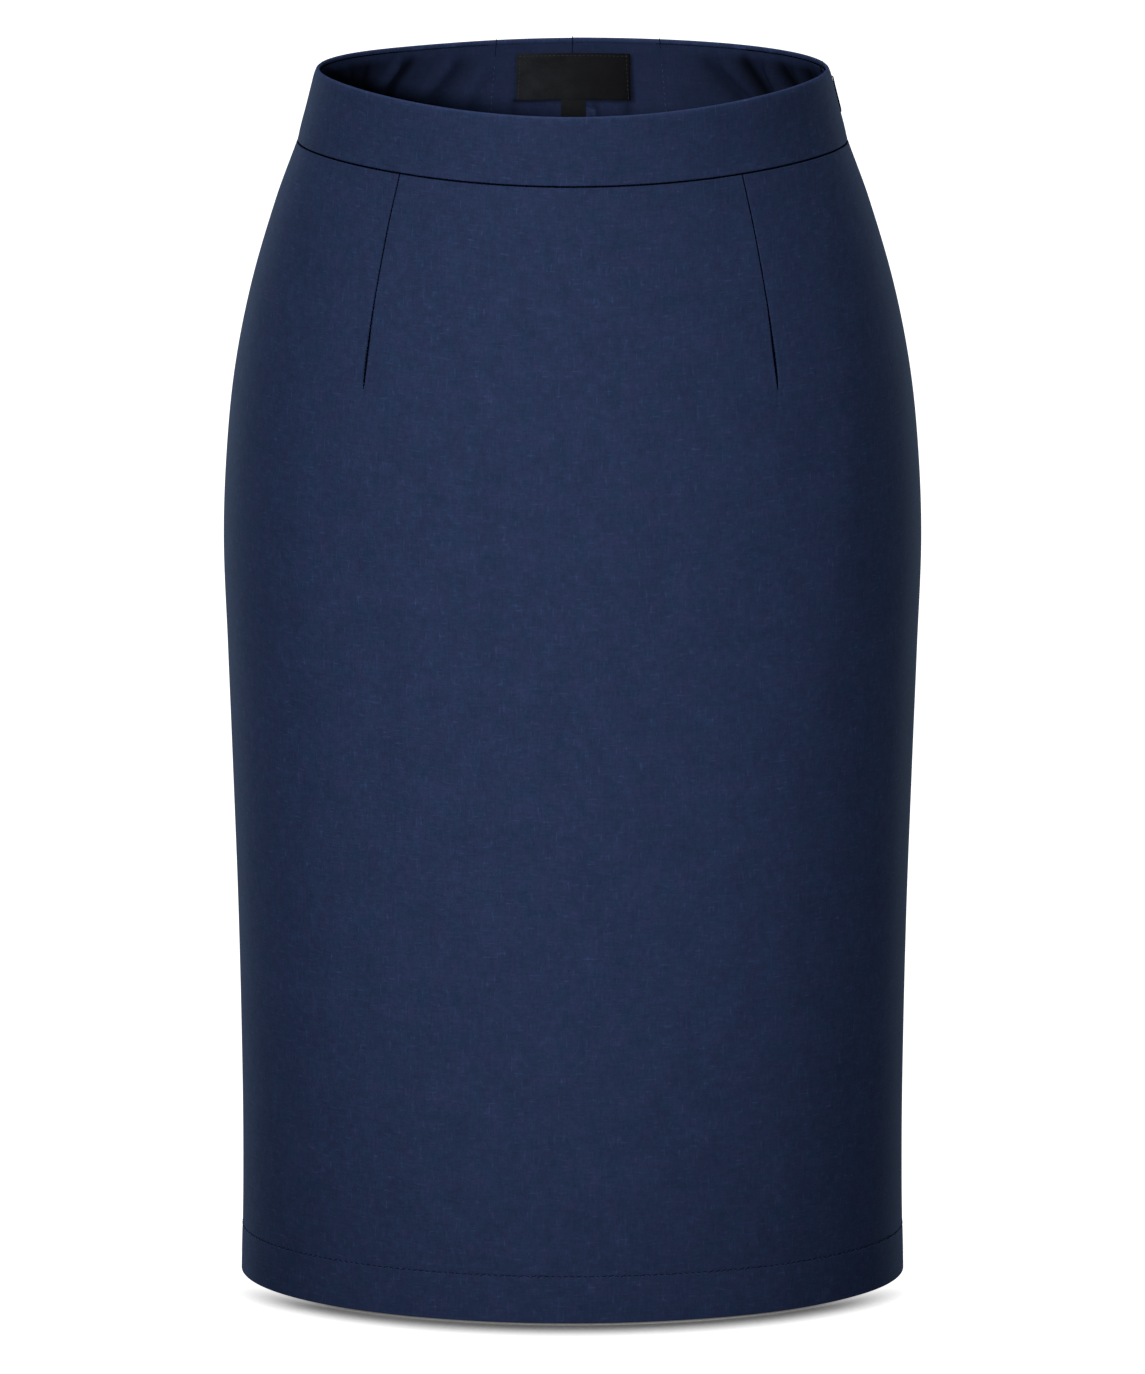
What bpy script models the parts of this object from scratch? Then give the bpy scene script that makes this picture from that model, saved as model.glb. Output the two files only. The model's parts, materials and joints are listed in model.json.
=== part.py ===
"""Pencil skirt, filled out as on a figure and open at the waist and the hem.

Metres, +Z up. The front faces -Y and the wearer's left is +X. The origin is the middle of
the waistband, half way down the band at its side, where a wearer's waist holds the skirt.

An angle is counted in degrees round the figure: 0 at the centre front, 90 at the wearer's
left side, 180 at the centre back, and minus over the wearer's right. Every layer of cloth
is laid out on one skin, the outside of the skirt, and set in from it along its normal.
"""

import math
from collections import namedtuple

import bmesh
import bpy
from mathutils import Matrix, Vector

# ---------------------------------------------------------------- driving dimensions

SKIRT_LENGTH = 0.640
BAND_HEIGHT = 0.0375
BAND_TOP = 0.0190
WAIST_SEAM = BAND_TOP - BAND_HEIGHT
HEM = BAND_TOP - SKIRT_LENGTH
FRONT_TOP_DIP = 0.0076
BACK_TOP_DIP = 0.0016
FRONT_SEAM_DIP = 0.0058
DIP_POWER = 2.4

SIDE_SEAM = 100.0
CENTRE_BACK = 180.0

CLOTH = 0.0012
FACING_CLOTH = 0.0010
TAPE_CLOTH = 0.0010
LABEL_CLOTH = 0.0008
GAP = 0.0003

HEM_DEPTH = 0.025
TURNED_EDGE = 0.0012
TURNED_EDGE_STEP = 0.0004
STEP = 0.0010
NEAR_SEAM = 0.0040
COLUMN_STEP = 5.0
COLUMN_CLEARANCE = 0.35
FACING_STEP = 3.0
PANEL_ROWS = 17
ROW_EASING = 1.25
CLEAR_OF_ANCHOR = 0.006

DART_HALF_WIDTH = 0.0022
DART_SINK = 0.0008
DART_FADE = 0.35

FACING_INSET = CLOTH + GAP
FACING_DROP = 0.0019
FACING_BELOW_SEAM = 0.010
FACING_TO_ZIP = 0.005
FACING_RAMP = 0.006
FOLD_START = 0.35

VENT_HEIGHT = 0.165
VENT_SHOULDER = 0.020
UNDERLAP = 0.038
UNDERLAP_SINK = 2.0 * CLOTH + 0.0004
VENT_RAMP_START = 0.0012
VENT_RAMP_END = 0.0095
VENT_RAMP_COLUMNS = 4
UNDERLAP_COLUMNS = (0.64, 0.32, 0.05)

LABEL_WIDTH = 0.0590
LABEL_HEIGHT = 0.0238
LABEL_BELOW_TOP = 0.0085
SIZE_TAB_WIDTH = 0.0134
SIZE_TAB_HEIGHT = 0.0120
LABEL_COLUMNS = 8
SIZE_TAB_COLUMNS = 2

ZIP_LENGTH = 0.200
ZIP_BELOW_TOP = 0.003
ZIP_GAP = 0.0012
TAPE_WIDTH = 0.011
TAPE_TO_MIDDLE = 0.00065
TAPE_INSET = CLOTH + GAP
TAPE_ROWS = 10
FACING_OVER_TAPE = TAPE_INSET + TAPE_CLOTH + GAP

SLIDER_BELOW_TOP = 0.0105
SLIDER_PLATE = (0.0018, 0.0064, 0.0090)
SLIDER_BEVEL = 0.0006
SLIDER_NECK_WIDTH = 0.0007
SLIDER_NECK_HEIGHT = 0.0040
CROWN_FOOT = 0.00035
CROWN_REACH = 0.0025
CROWN_HALF_HEIGHT = 0.0031
CROWN_WALL = 0.00055
CROWN_WIDTH = 0.0014
CROWN_SQUARENESS = 3.0
CROWN_POINTS = 24

PULL_THICKNESS = 0.0007
PULL_PIN = 0.0007
PULL_TOP_WIDTH = 0.0050
PULL_LENGTH = 0.0175
PULL_END_RADIUS = 0.0030
PULL_CORNER = 0.0006
PULL_WINDOW_WIDTH = 0.0021
PULL_WINDOW_DROP = 0.0037
PULL_EYELET_RADIUS = 0.0011
PULL_OUT = CROWN_FOOT + 0.5 * CROWN_REACH

# Level sections of the outside, from the top down: half the width, the depth in front of
# the side line and behind it, and how much the front is drawn in between side and middle.
Section = namedtuple("Section", "place height half_width front back taper")
SECTIONS = (
    Section("top of the band", 0.0190, 0.1326, 0.1003, 0.1029, 0.15),
    Section("middle of the band", 0.0000, 0.1373, 0.1018, 0.1040, 0.15),
    Section("foot of the band", -0.0120, 0.1405, 0.1028, 0.1051, 0.15),
    Section("waist seam", -0.0190, 0.1422, 0.1036, 0.1061, 0.14),
    Section("high hip", -0.0500, 0.1534, 0.1078, 0.1120, 0.10),
    Section("tummy", -0.0950, 0.1665, 0.1138, 0.1218, 0.05),
    Section("dart points", -0.1400, 0.1753, 0.1174, 0.1302, 0.02),
    Section("seat", -0.1850, 0.1798, 0.1186, 0.1350, 0.00),
    Section("hip line", -0.2300, 0.1814, 0.1182, 0.1358, 0.00),
    Section("below the seat", -0.2850, 0.1796, 0.1168, 0.1318, 0.00),
    Section("thigh", -0.3500, 0.1773, 0.1153, 0.1254, 0.00),
    Section("above the knee", -0.4300, 0.1747, 0.1141, 0.1182, 0.00),
    Section("knee", -0.5200, 0.1731, 0.1134, 0.1118, 0.00),
    Section("below the knee", -0.5750, 0.1731, 0.1132, 0.1086, 0.00),
    Section("hem", -0.6210, 0.1740, 0.1132, 0.1064, 0.00),
)

Dart = namedtuple("Dart", "angle length")
DARTS = (
    Dart(38.0, 0.110),
    Dart(-38.0, 0.110),
    Dart(146.0, 0.128),
    Dart(-146.0, 0.128),
)

# Soft folds of the back facing, which lean out from the centre back as they go down.
Fold = namedtuple("Fold", "top_angle foot_angle half_width rise")
FACING_FOLDS = (
    Fold(150.0, 141.0, 2.6, 0.0012),
    Fold(142.0, 131.0, 3.0, 0.0018),
    Fold(133.0, 123.0, 2.6, 0.0014),
    Fold(-147.0, -137.0, 2.8, 0.0013),
    Fold(-138.0, -127.0, 3.2, 0.0019),
    Fold(-129.0, -118.0, 2.6, 0.0013),
)

# A column is a run of points down a piece: it lies `offset` metres round from an angle.
Column = namedtuple("Column", "angle offset")
# A row goes round a piece at a share of its height, moved up by `offset` metres.
Row = namedtuple("Row", "share offset")

Finish = namedtuple("Finish", "colour roughness metallic")
FINISHES = {
    "navy_suiting": Finish((0.021, 0.033, 0.085), 0.85, 0.0),
    "navy_facing": Finish((0.016, 0.025, 0.066), 0.88, 0.0),
    "black_label": Finish((0.010, 0.010, 0.012), 0.60, 0.0),
    "navy_tape": Finish((0.012, 0.018, 0.048), 0.80, 0.0),
    "navy_enamel": Finish((0.018, 0.028, 0.070), 0.35, 0.6),
}


# ---------------------------------------------------------------- the skin of the skirt

def smooth_step(value, low, high):
    """Rise softly from 0 at low to 1 at high."""
    share = min(max((value - low) / (high - low), 0.0), 1.0)
    return share * share * (3.0 - 2.0 * share)


def slope(index, column):
    """Give the slope of a column of SECTIONS at a row, from the rows around it."""
    above = SECTIONS[max(index - 1, 0)]
    below = SECTIONS[min(index + 1, len(SECTIONS) - 1)]
    rise = getattr(below, column) - getattr(above, column)
    return rise / (below.height - above.height)


def section_value(height, column):
    """Read a column of SECTIONS at any height, on a smooth curve through its rows."""
    height = min(max(height, SECTIONS[-1].height), SECTIONS[0].height)
    index = 0
    while index < len(SECTIONS) - 2 and height < SECTIONS[index + 1].height:
        index += 1
    upper, lower = SECTIONS[index], SECTIONS[index + 1]
    span = lower.height - upper.height
    t = (height - upper.height) / span
    start, end = getattr(upper, column), getattr(lower, column)
    leave, arrive = slope(index, column) * span, slope(index + 1, column) * span
    return (
        start * (2.0 * t ** 3 - 3.0 * t ** 2 + 1.0)
        + leave * (t ** 3 - 2.0 * t ** 2 + t)
        + end * (3.0 * t ** 2 - 2.0 * t ** 3)
        + arrive * (t ** 3 - t ** 2)
    )


def skin_point(angle, height):
    """Give a point on the outside of the skirt."""
    turn = math.radians(angle)
    side, ahead = math.sin(turn), math.cos(turn)
    if ahead >= 0.0:
        depth = section_value(height, "front")
        depth *= 1.0 - section_value(height, "taper") * side ** 2
    else:
        depth = section_value(height, "back")
    return Vector((section_value(height, "half_width") * side, -depth * ahead, height))


def skin_normal(angle, height):
    """Give the outward normal of the skin."""
    turn, rise = 0.2, 0.0005
    round_it = skin_point(angle + turn, height) - skin_point(angle - turn, height)
    up_it = skin_point(angle, height + rise) - skin_point(angle, height - rise)
    return round_it.cross(up_it).normalized()


def layer_point(angle, height, inset):
    """Give a point set in from the skin."""
    return skin_point(angle, height) - skin_normal(angle, height) * inset


def metres_per_degree(angle, height):
    """Tell how far one degree reaches round the skin."""
    return (skin_point(angle + 0.5, height) - skin_point(angle - 0.5, height)).length


def column_angle(column, height):
    """Turn a column's offset in metres into an angle at this height."""
    return column.angle + column.offset / metres_per_degree(column.angle, height)


def dip(angle, front_dip, back_dip):
    """Lower an edge towards the centre front and the centre back."""
    ahead = math.cos(math.radians(angle))
    depth = front_dip if ahead > 0.0 else back_dip
    return depth * abs(ahead) ** DIP_POWER


def top_height(angle):
    """Give the height of the band's top edge."""
    return BAND_TOP - dip(angle, FRONT_TOP_DIP, BACK_TOP_DIP)


def seam_height(angle):
    """Give the height of the seam between band and panels."""
    return WAIST_SEAM - dip(angle, FRONT_SEAM_DIP, 0.0)


def hem_height(_angle):
    """Give the height of the hem, which is level."""
    return HEM


def dart_sink(angle, height):
    """Tell how far a dart's seam draws the cloth in at a point of a panel."""
    sink = 0.0
    for dart in DARTS:
        below_seam = seam_height(dart.angle) - height
        if below_seam < 0.0 or below_seam > dart.length:
            continue
        away = abs(angle - dart.angle) * metres_per_degree(dart.angle, height)
        across = max(1.0 - away / DART_HALF_WIDTH, 0.0)
        fade = smooth_step(dart.length - below_seam, 0.0, DART_FADE * dart.length)
        sink += DART_SINK * across * fade
    return sink


def vent_sink(angle, height):
    """Tell how far the right back panel steps in to pass under the vent's edge."""
    past_middle = (angle + CENTRE_BACK) * metres_per_degree(-CENTRE_BACK, height)
    across = 1.0 - smooth_step(past_middle, VENT_RAMP_START, VENT_RAMP_END)
    vent_top = HEM + VENT_HEIGHT
    down = 1.0 - smooth_step(height, vent_top - VENT_SHOULDER, vent_top)
    return UNDERLAP_SINK * across * down


def fold_rise(angle, height):
    """Tell how far the facing's soft folds stand in from the band."""
    top, foot = top_height(angle) - FACING_DROP, seam_height(angle) - FACING_BELOW_SEAM
    down = (top - height) / (top - foot)
    rise = 0.0
    for fold in FACING_FOLDS:
        middle = fold.top_angle + (fold.foot_angle - fold.top_angle) * down
        across = math.exp(-((angle - middle) / fold.half_width) ** 2)
        rise += fold.rise * across * smooth_step(down, 0.0, FOLD_START)
    return rise


def facing_inset(angle, height):
    """Tell how deep the facing's outer face lies: over the zip tape it stands further in."""
    to_zip = abs(angle - SIDE_SEAM) * metres_per_degree(SIDE_SEAM, height)
    clear_of_tape = TAPE_TO_MIDDLE + TAPE_WIDTH + GAP
    over_tape = 1.0 - smooth_step(to_zip, clear_of_tape, clear_of_tape + FACING_RAMP)
    inset = FACING_INSET + (FACING_OVER_TAPE - FACING_INSET) * over_tape
    return inset + dart_sink(angle, height) + fold_rise(angle, height)


# ---------------------------------------------------------------- laying out a piece

def row_height(row, angle, upper, lower):
    """Give a row's height at an angle, between a piece's upper and lower edges."""
    top, bottom = upper(angle), lower(angle)
    return top + (bottom - top) * row.share + row.offset


def panel_rows(extra=()):
    """Give a panel's rows: close together over the hip, and at each extra row."""
    anchors = [Row(0.0, -0.5 * GAP), Row(1.0, HEM_DEPTH + STEP), Row(1.0, HEM_DEPTH)]
    anchors += list(extra) + [Row(1.0, 0.0)]
    length = WAIST_SEAM - HEM
    taken = [row.share * length - row.offset for row in anchors]
    rows = list(anchors)
    for number in range(1, PANEL_ROWS):
        share = (number / PANEL_ROWS) ** ROW_EASING
        if min(abs(share * length - place) for place in taken) > CLEAR_OF_ANCHOR:
            rows.append(Row(share, 0.0))
    return sorted(rows, key=lambda row: row.share * length - row.offset)


def panel_columns(start, stop, step, extra=(), darts=True):
    """Give a piece's columns: its two edges, the extra ones, and an even run between."""
    anchors = [start, stop, *extra]
    if darts:
        for dart in DARTS:
            if start.angle < dart.angle < stop.angle:
                anchors += [Column(dart.angle, way * DART_HALF_WIDTH) for way in (-1, 0, 1)]
    taken = [column_angle(column, WAIST_SEAM) for column in anchors]
    columns = list(anchors)
    count = round((stop.angle - start.angle) / step)
    for number in range(1, count):
        angle = start.angle + (stop.angle - start.angle) * number / count
        if min(abs(angle - place) for place in taken) > COLUMN_CLEARANCE * step:
            columns.append(Column(angle, 0.0))
    return sorted(columns, key=lambda column: column_angle(column, WAIST_SEAM))


def lay_out(columns, rows, upper, lower, inset, exists=None):
    """Place a grid of points, a list for each row; a point that a piece lacks is None."""
    grid = []
    for row in rows:
        line = []
        for column in columns:
            height = row_height(row, column.angle, upper, lower)
            angle = column_angle(column, height)
            height = row_height(row, angle, upper, lower)
            if exists is None or exists(column, height):
                line.append(layer_point(angle, height, inset(angle, height)))
            else:
                line.append(None)
        grid.append(line)
    return grid


def collection_named(name):
    """Give the collection of this name, made where it is missing."""
    found = bpy.data.collections.get(name)
    if found is None:
        found = bpy.data.collections.new(name)
        bpy.context.scene.collection.children.link(found)
    return found


def finish_named(name):
    """Give the material of this name."""
    material = bpy.data.materials.get(name)
    if material is None:
        finish = FINISHES[name]
        material = bpy.data.materials.new(name)
        material.use_nodes = True
        shader = material.node_tree.nodes["Principled BSDF"]
        shader.inputs["Base Color"].default_value = (*finish.colour, 1.0)
        shader.inputs["Roughness"].default_value = finish.roughness
        shader.inputs["Metallic"].default_value = finish.metallic
    return material


def add_object(name, data, finish):
    """Put a mesh or curve in the skirt's collection with its finish."""
    item = bpy.data.objects.new(name, data)
    data.materials.append(finish_named(finish))
    collection_named("pencil_skirt").objects.link(item)
    return item


def cloth_wall(name, grid, finish, thin, thick=None, doubled=None):
    """Make a wall of cloth from a grid of outer points.

    Where `doubled` is true the wall is `thick`, as at a hem, and elsewhere it is `thin`.
    """
    mesh = bpy.data.meshes.new(name)
    build = bmesh.new()
    layers = build.verts.layers.deform.verify()
    verts = []
    for i, line in enumerate(grid):
        verts.append([None if point is None else build.verts.new(point) for point in line])
        for j, vert in enumerate(verts[i]):
            if vert is not None and doubled is not None and doubled[i][j]:
                vert[layers][0] = 1.0
    for upper, lower in zip(verts, verts[1:]):
        for j in range(len(upper) - 1):
            corners = (upper[j], lower[j], lower[j + 1], upper[j + 1])
            if None not in corners:
                build.faces.new(corners)
    build.to_mesh(mesh)
    build.free()
    item = add_object(name, mesh, finish)
    wall = item.modifiers.new("wall", "SOLIDIFY")
    wall.offset = -1.0
    wall.thickness = thin
    if doubled is not None:
        item.vertex_groups.new(name="doubled")
        wall.thickness = thick
        wall.vertex_group = "doubled"
        wall.thickness_vertex_group = thin / thick
    mesh.shade_smooth()
    mesh.set_sharp_from_angle(angle=math.radians(40.0))
    return item


# ---------------------------------------------------------------- panels

def make_panel(name, columns, rows, inset, in_vent_facing, exists=None):
    """Make a panel of the skirt, double at its hem and at a vent's turned edge."""
    grid = lay_out(columns, rows, seam_height, hem_height, inset, exists)
    doubled = []
    for row in rows:
        height = row_height(row, CENTRE_BACK, seam_height, hem_height)
        in_hem = height < HEM + HEM_DEPTH + 0.5 * STEP
        doubled.append([in_hem or in_vent_facing(column, height) for column in columns])
    return cloth_wall(name, grid, "navy_suiting", CLOTH, 2.0 * CLOTH, doubled)


def make_front_panel():
    """Make the front, cut in one piece with two darts."""
    left, right = Column(SIDE_SEAM, -0.5 * GAP), Column(-SIDE_SEAM, 0.5 * GAP)
    near_seams = (Column(SIDE_SEAM, -NEAR_SEAM), Column(-SIDE_SEAM, NEAR_SEAM))
    columns = panel_columns(right, left, COLUMN_STEP, near_seams)
    make_panel("front_panel", columns, panel_rows(), dart_sink, lambda column, height: False)


def make_back_panel_left():
    """Make the wearer's left back, whose vent edge is turned in at the centre back."""
    vent_top = HEM + VENT_HEIGHT
    side, middle = Column(SIDE_SEAM, 0.5 * GAP), Column(CENTRE_BACK, -0.5 * GAP)
    extra = (
        Column(SIDE_SEAM, NEAR_SEAM),
        Column(CENTRE_BACK, -UNDERLAP - STEP),
        Column(CENTRE_BACK, -UNDERLAP),
        Column(CENTRE_BACK, -NEAR_SEAM),
    )
    columns = panel_columns(side, middle, COLUMN_STEP, extra)
    rows = panel_rows((Row(1.0, VENT_HEIGHT + STEP), Row(1.0, VENT_HEIGHT)))

    def in_vent_facing(column, height):
        to_middle = CENTRE_BACK - column_angle(column, HEM)
        turned_in = to_middle * metres_per_degree(CENTRE_BACK, HEM) < UNDERLAP + 0.5 * STEP
        return turned_in and height < vent_top + 0.5 * STEP

    make_panel("back_panel_left", columns, rows, dart_sink, in_vent_facing)


def make_back_panel_right():
    """Make the wearer's right back, with the underlap that backs the vent."""
    vent_top = HEM + VENT_HEIGHT
    underlap_top = vent_top - VENT_SHOULDER
    side = Column(-SIDE_SEAM, -0.5 * GAP)
    free_edge = Column(-CENTRE_BACK, -UNDERLAP + STEP)
    extra = [Column(-SIDE_SEAM, -NEAR_SEAM)]
    extra += [Column(-CENTRE_BACK, -share * UNDERLAP) for share in UNDERLAP_COLUMNS]
    extra += [Column(-CENTRE_BACK, 0.5 * GAP)]
    ramp_step = (VENT_RAMP_END - VENT_RAMP_START) / VENT_RAMP_COLUMNS
    for number in range(VENT_RAMP_COLUMNS + 1):
        extra.append(Column(-CENTRE_BACK, VENT_RAMP_START + ramp_step * number))
    columns = panel_columns(free_edge, side, COLUMN_STEP, extra)
    rows = panel_rows((
        Row(1.0, VENT_HEIGHT),
        Row(1.0, VENT_HEIGHT - 0.5 * VENT_SHOULDER),
        Row(1.0, VENT_HEIGHT - VENT_SHOULDER),
    ))

    def exists(column, height):
        before_middle = column.angle == -CENTRE_BACK and column.offset < 0.0
        return not before_middle or height < underlap_top + 0.5 * STEP

    def inset(angle, height):
        return dart_sink(angle, height) + vent_sink(angle, height)

    make_panel("back_panel_right", columns, rows, inset, lambda column, height: False, exists)


# ---------------------------------------------------------------- waistband and facing

def make_waistband():
    """Make the band in three pieces, whose top edge rolls in over the facing."""
    zip_half, half = 0.5 * ZIP_GAP, 0.5 * GAP
    pieces = (
        ("waistband_front", Column(-SIDE_SEAM, half), Column(SIDE_SEAM, -zip_half)),
        ("waistband_back_left", Column(SIDE_SEAM, zip_half), Column(CENTRE_BACK, -half)),
        ("waistband_back_right", Column(-CENTRE_BACK, half), Column(-SIDE_SEAM, -half)),
    )
    below_turn = -TURNED_EDGE - TURNED_EDGE_STEP
    rows = [Row(0.0, 0.0), Row(0.0, -TURNED_EDGE), Row(0.0, below_turn)]
    rows += [Row(0.28, 0.0), Row(0.52, 0.0), Row(0.76, 0.0), Row(1.0, half)]
    doubled_rows = [True, True] + [False] * (len(rows) - 2)
    rolled = CLOTH + GAP + FACING_CLOTH
    for name, start, stop in pieces:
        ends = (
            Column(start.angle, start.offset + NEAR_SEAM),
            Column(stop.angle, stop.offset - NEAR_SEAM),
        )
        columns = panel_columns(start, stop, COLUMN_STEP, ends, darts=False)
        grid = lay_out(columns, rows, top_height, seam_height, lambda angle, height: 0.0)
        doubled = [[double] * len(columns) for double in doubled_rows]
        cloth_wall(name, grid, "navy_suiting", CLOTH, rolled, doubled)


def make_facing():
    """Make the band's inner layer, which ends a little below the waist seam."""
    half = 0.5 * GAP
    clear_of_tape = TAPE_TO_MIDDLE + TAPE_WIDTH + GAP
    ramp = [clear_of_tape + FACING_RAMP * share for share in (0.0, 0.5, 1.0)]
    near_front = [Column(SIDE_SEAM, -reach) for reach in ramp]
    near_back = [Column(SIDE_SEAM, reach) for reach in ramp]
    pieces = (
        ("facing_front", Column(-SIDE_SEAM, half), Column(SIDE_SEAM, -FACING_TO_ZIP), near_front),
        ("facing_back_left", Column(SIDE_SEAM, FACING_TO_ZIP), Column(CENTRE_BACK, -half),
         near_back),
        ("facing_back_right", Column(-CENTRE_BACK, half), Column(-SIDE_SEAM, -half), []),
    )
    rows = [Row(0.0, -FACING_DROP)]
    rows += [Row(share, 0.0) for share in (0.2, 0.36, 0.52, 0.68, 0.84)]
    rows += [Row(1.0, -STEP), Row(1.0, -FACING_BELOW_SEAM)]
    for name, start, stop, extra in pieces:
        step = COLUMN_STEP if name == "facing_front" else FACING_STEP
        columns = panel_columns(start, stop, step, extra)
        grid = lay_out(columns, rows, top_height, seam_height, facing_inset)
        cloth_wall(name, grid, "navy_facing", FACING_CLOTH)


# ---------------------------------------------------------------- label and size tab

def make_label():
    """Make the woven label on the back facing and the size tab that hangs from it."""
    inset = FACING_INSET + FACING_CLOTH + GAP
    label_foot = LABEL_BELOW_TOP + LABEL_HEIGHT
    pieces = (
        ("label", LABEL_WIDTH, LABEL_BELOW_TOP, label_foot, LABEL_COLUMNS),
        ("size_tab", SIZE_TAB_WIDTH, label_foot + GAP, label_foot + GAP + SIZE_TAB_HEIGHT,
         SIZE_TAB_COLUMNS),
    )
    for name, width, upper, lower, steps in pieces:
        across = [width * (n / steps - 0.5) for n in range(steps + 1)]
        columns = [Column(CENTRE_BACK, offset) for offset in across]
        rows = [Row(0.0, -upper - (lower - upper) * share) for share in (0.0, 0.5, 1.0)]
        grid = lay_out(columns, rows, top_height, seam_height, lambda angle, height: inset)
        cloth_wall(name, grid, "black_label", LABEL_CLOTH)


# ---------------------------------------------------------------- concealed side zip

def make_zip_tapes():
    """Make the two tapes, behind the edges of the left side seam."""
    near, far = TAPE_TO_MIDDLE, TAPE_TO_MIDDLE + TAPE_WIDTH
    below_seam = ZIP_BELOW_TOP + ZIP_LENGTH - BAND_HEIGHT
    rows = [Row(0.0, -ZIP_BELOW_TOP)] + [Row(share, 0.0) for share in (0.3, 0.6, 0.85)]
    for number in range(TAPE_ROWS + 1):
        share = (number / TAPE_ROWS) ** ROW_EASING
        rows.append(Row(1.0, -STEP - (below_seam - STEP) * share))
    for name, side in (("zip_tape_front", -1.0), ("zip_tape_back", 1.0)):
        offsets = sorted((side * near, side * 0.5 * (near + far), side * far))
        columns = [Column(SIDE_SEAM, offset) for offset in offsets]
        grid = lay_out(columns, rows, top_height, seam_height, lambda angle, height: TAPE_INSET)
        cloth_wall(name, grid, "navy_tape", TAPE_CLOTH)


def zip_frame():
    """Give the slider's place: X out of the skirt, Y round to the back, Z up the seam."""
    height = top_height(SIDE_SEAM) - SLIDER_BELOW_TOP
    out = skin_normal(SIDE_SEAM, height)
    along = skin_point(SIDE_SEAM, height + STEP) - skin_point(SIDE_SEAM, height - STEP)
    around = along.cross(out).normalized()
    up = out.cross(around).normalized()
    frame = Matrix((out, around, up)).transposed().to_4x4()
    frame.translation = skin_point(SIDE_SEAM, height)
    return frame


def add_tool(name, mesh, parent):
    """Put a mesh that is joined to another piece in the collection of tools."""
    tool = bpy.data.objects.new(name, mesh)
    collection_named("pencil_skirt_tools").objects.link(tool)
    tool.hide_render = True
    tool.display_type = "WIRE"
    tool.parent = parent
    return tool


def block_mesh(name, size, middle):
    """Make a block's mesh from its size and its middle."""
    build = bmesh.new()
    bmesh.ops.create_cube(build, size=1.0)
    bmesh.ops.scale(build, vec=size, verts=build.verts)
    bmesh.ops.translate(build, vec=middle, verts=build.verts)
    mesh = bpy.data.meshes.new(name)
    build.to_mesh(mesh)
    build.free()
    return mesh


def squared_oval(half_out, half_up, number):
    """Give a point on a squared oval, as the share `number` of CROWN_POINTS round it."""
    turn = 2.0 * math.pi * number / CROWN_POINTS
    power = 2.0 / CROWN_SQUARENESS
    out = math.copysign(abs(math.cos(turn)) ** power, math.cos(turn)) * half_out
    up = math.copysign(abs(math.sin(turn)) ** power, math.sin(turn)) * half_up
    return out, up


def crown_mesh():
    """Make the slider's crown, an upright eye that the pull's pin turns in."""
    build = bmesh.new()
    rings = []
    for wall in (0.0, CROWN_WALL):
        half_out, half_up = 0.5 * CROWN_REACH - wall, CROWN_HALF_HEIGHT - wall
        ring = []
        for number in range(CROWN_POINTS):
            out, up = squared_oval(half_out, half_up, number)
            ring.append(build.verts.new((PULL_OUT + out, -0.5 * CROWN_WIDTH, up)))
        rings.append(ring)
    outer, inner = rings
    flat = []
    for number in range(CROWN_POINTS):
        after = (number + 1) % CROWN_POINTS
        flat.append(build.faces.new((outer[number], outer[after], inner[after], inner[number])))
    raised = bmesh.ops.extrude_face_region(build, geom=flat)
    moved = [piece for piece in raised["geom"] if isinstance(piece, bmesh.types.BMVert)]
    bmesh.ops.translate(build, vec=(0.0, CROWN_WIDTH, 0.0), verts=moved)
    bmesh.ops.recalc_face_normals(build, faces=build.faces)
    mesh = bpy.data.meshes.new("zip_crown")
    build.to_mesh(mesh)
    build.free()
    return mesh


def make_slider(place):
    """Make the slider: a plate inside, a neck through the seam and the crown outside."""
    plate_middle = (-FACING_OVER_TAPE - 0.5 * SLIDER_PLATE[0], 0.0, 0.0)
    slider = add_object("zip_slider", block_mesh("zip_slider", SLIDER_PLATE, plate_middle),
                        "navy_enamel")
    slider.parent = place
    corners = slider.modifiers.new("corners", "BEVEL")
    corners.width = SLIDER_BEVEL
    corners.segments = 2
    neck_start, neck_end = plate_middle[0], CROWN_FOOT + 0.5 * CROWN_WALL
    neck_size = (neck_end - neck_start, SLIDER_NECK_WIDTH, SLIDER_NECK_HEIGHT)
    neck_middle = (0.5 * (neck_start + neck_end), 0.0, 0.0)
    tools = (
        add_tool("zip_neck", block_mesh("zip_neck", neck_size, neck_middle), place),
        add_tool("zip_crown", crown_mesh(), place),
    )
    for tool in tools:
        join = slider.modifiers.new(tool.name, "BOOLEAN")
        join.operation = "UNION"
        join.object = tool


def arc(middle_x, middle_y, radius, start, stop, count):
    """Give points on an arc, in degrees counted from +X towards +Y."""
    points = []
    for number in range(count + 1):
        turn = math.radians(start + (stop - start) * number / count)
        points.append((middle_x + radius * math.cos(turn), middle_y + radius * math.sin(turn)))
    return points


def pull_outlines():
    """Give the pull's outer edge, its window and its eyelet, with the pin at the origin."""
    half_top, pin_half = 0.5 * PULL_TOP_WIDTH, 0.5 * PULL_PIN
    end_y = pin_half - PULL_LENGTH + PULL_END_RADIUS
    corner_x, corner_y = half_top - PULL_CORNER, pin_half - PULL_CORNER
    edge = arc(corner_x, corner_y, PULL_CORNER, 0.0, 90.0, 3)
    edge += arc(-corner_x, corner_y, PULL_CORNER, 90.0, 180.0, 3)
    edge += arc(0.0, end_y, PULL_END_RADIUS, 175.0, 365.0, 14)
    half_window = 0.5 * PULL_WINDOW_WIDTH
    foot = -PULL_WINDOW_DROP + half_window
    window = [(half_window, -pin_half), (-half_window, -pin_half)]
    window += arc(0.0, foot, half_window, 180.0, 360.0, 6)
    eyelet = arc(0.0, end_y, PULL_EYELET_RADIUS, 0.0, 330.0, 11)
    return edge, window, eyelet


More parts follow.
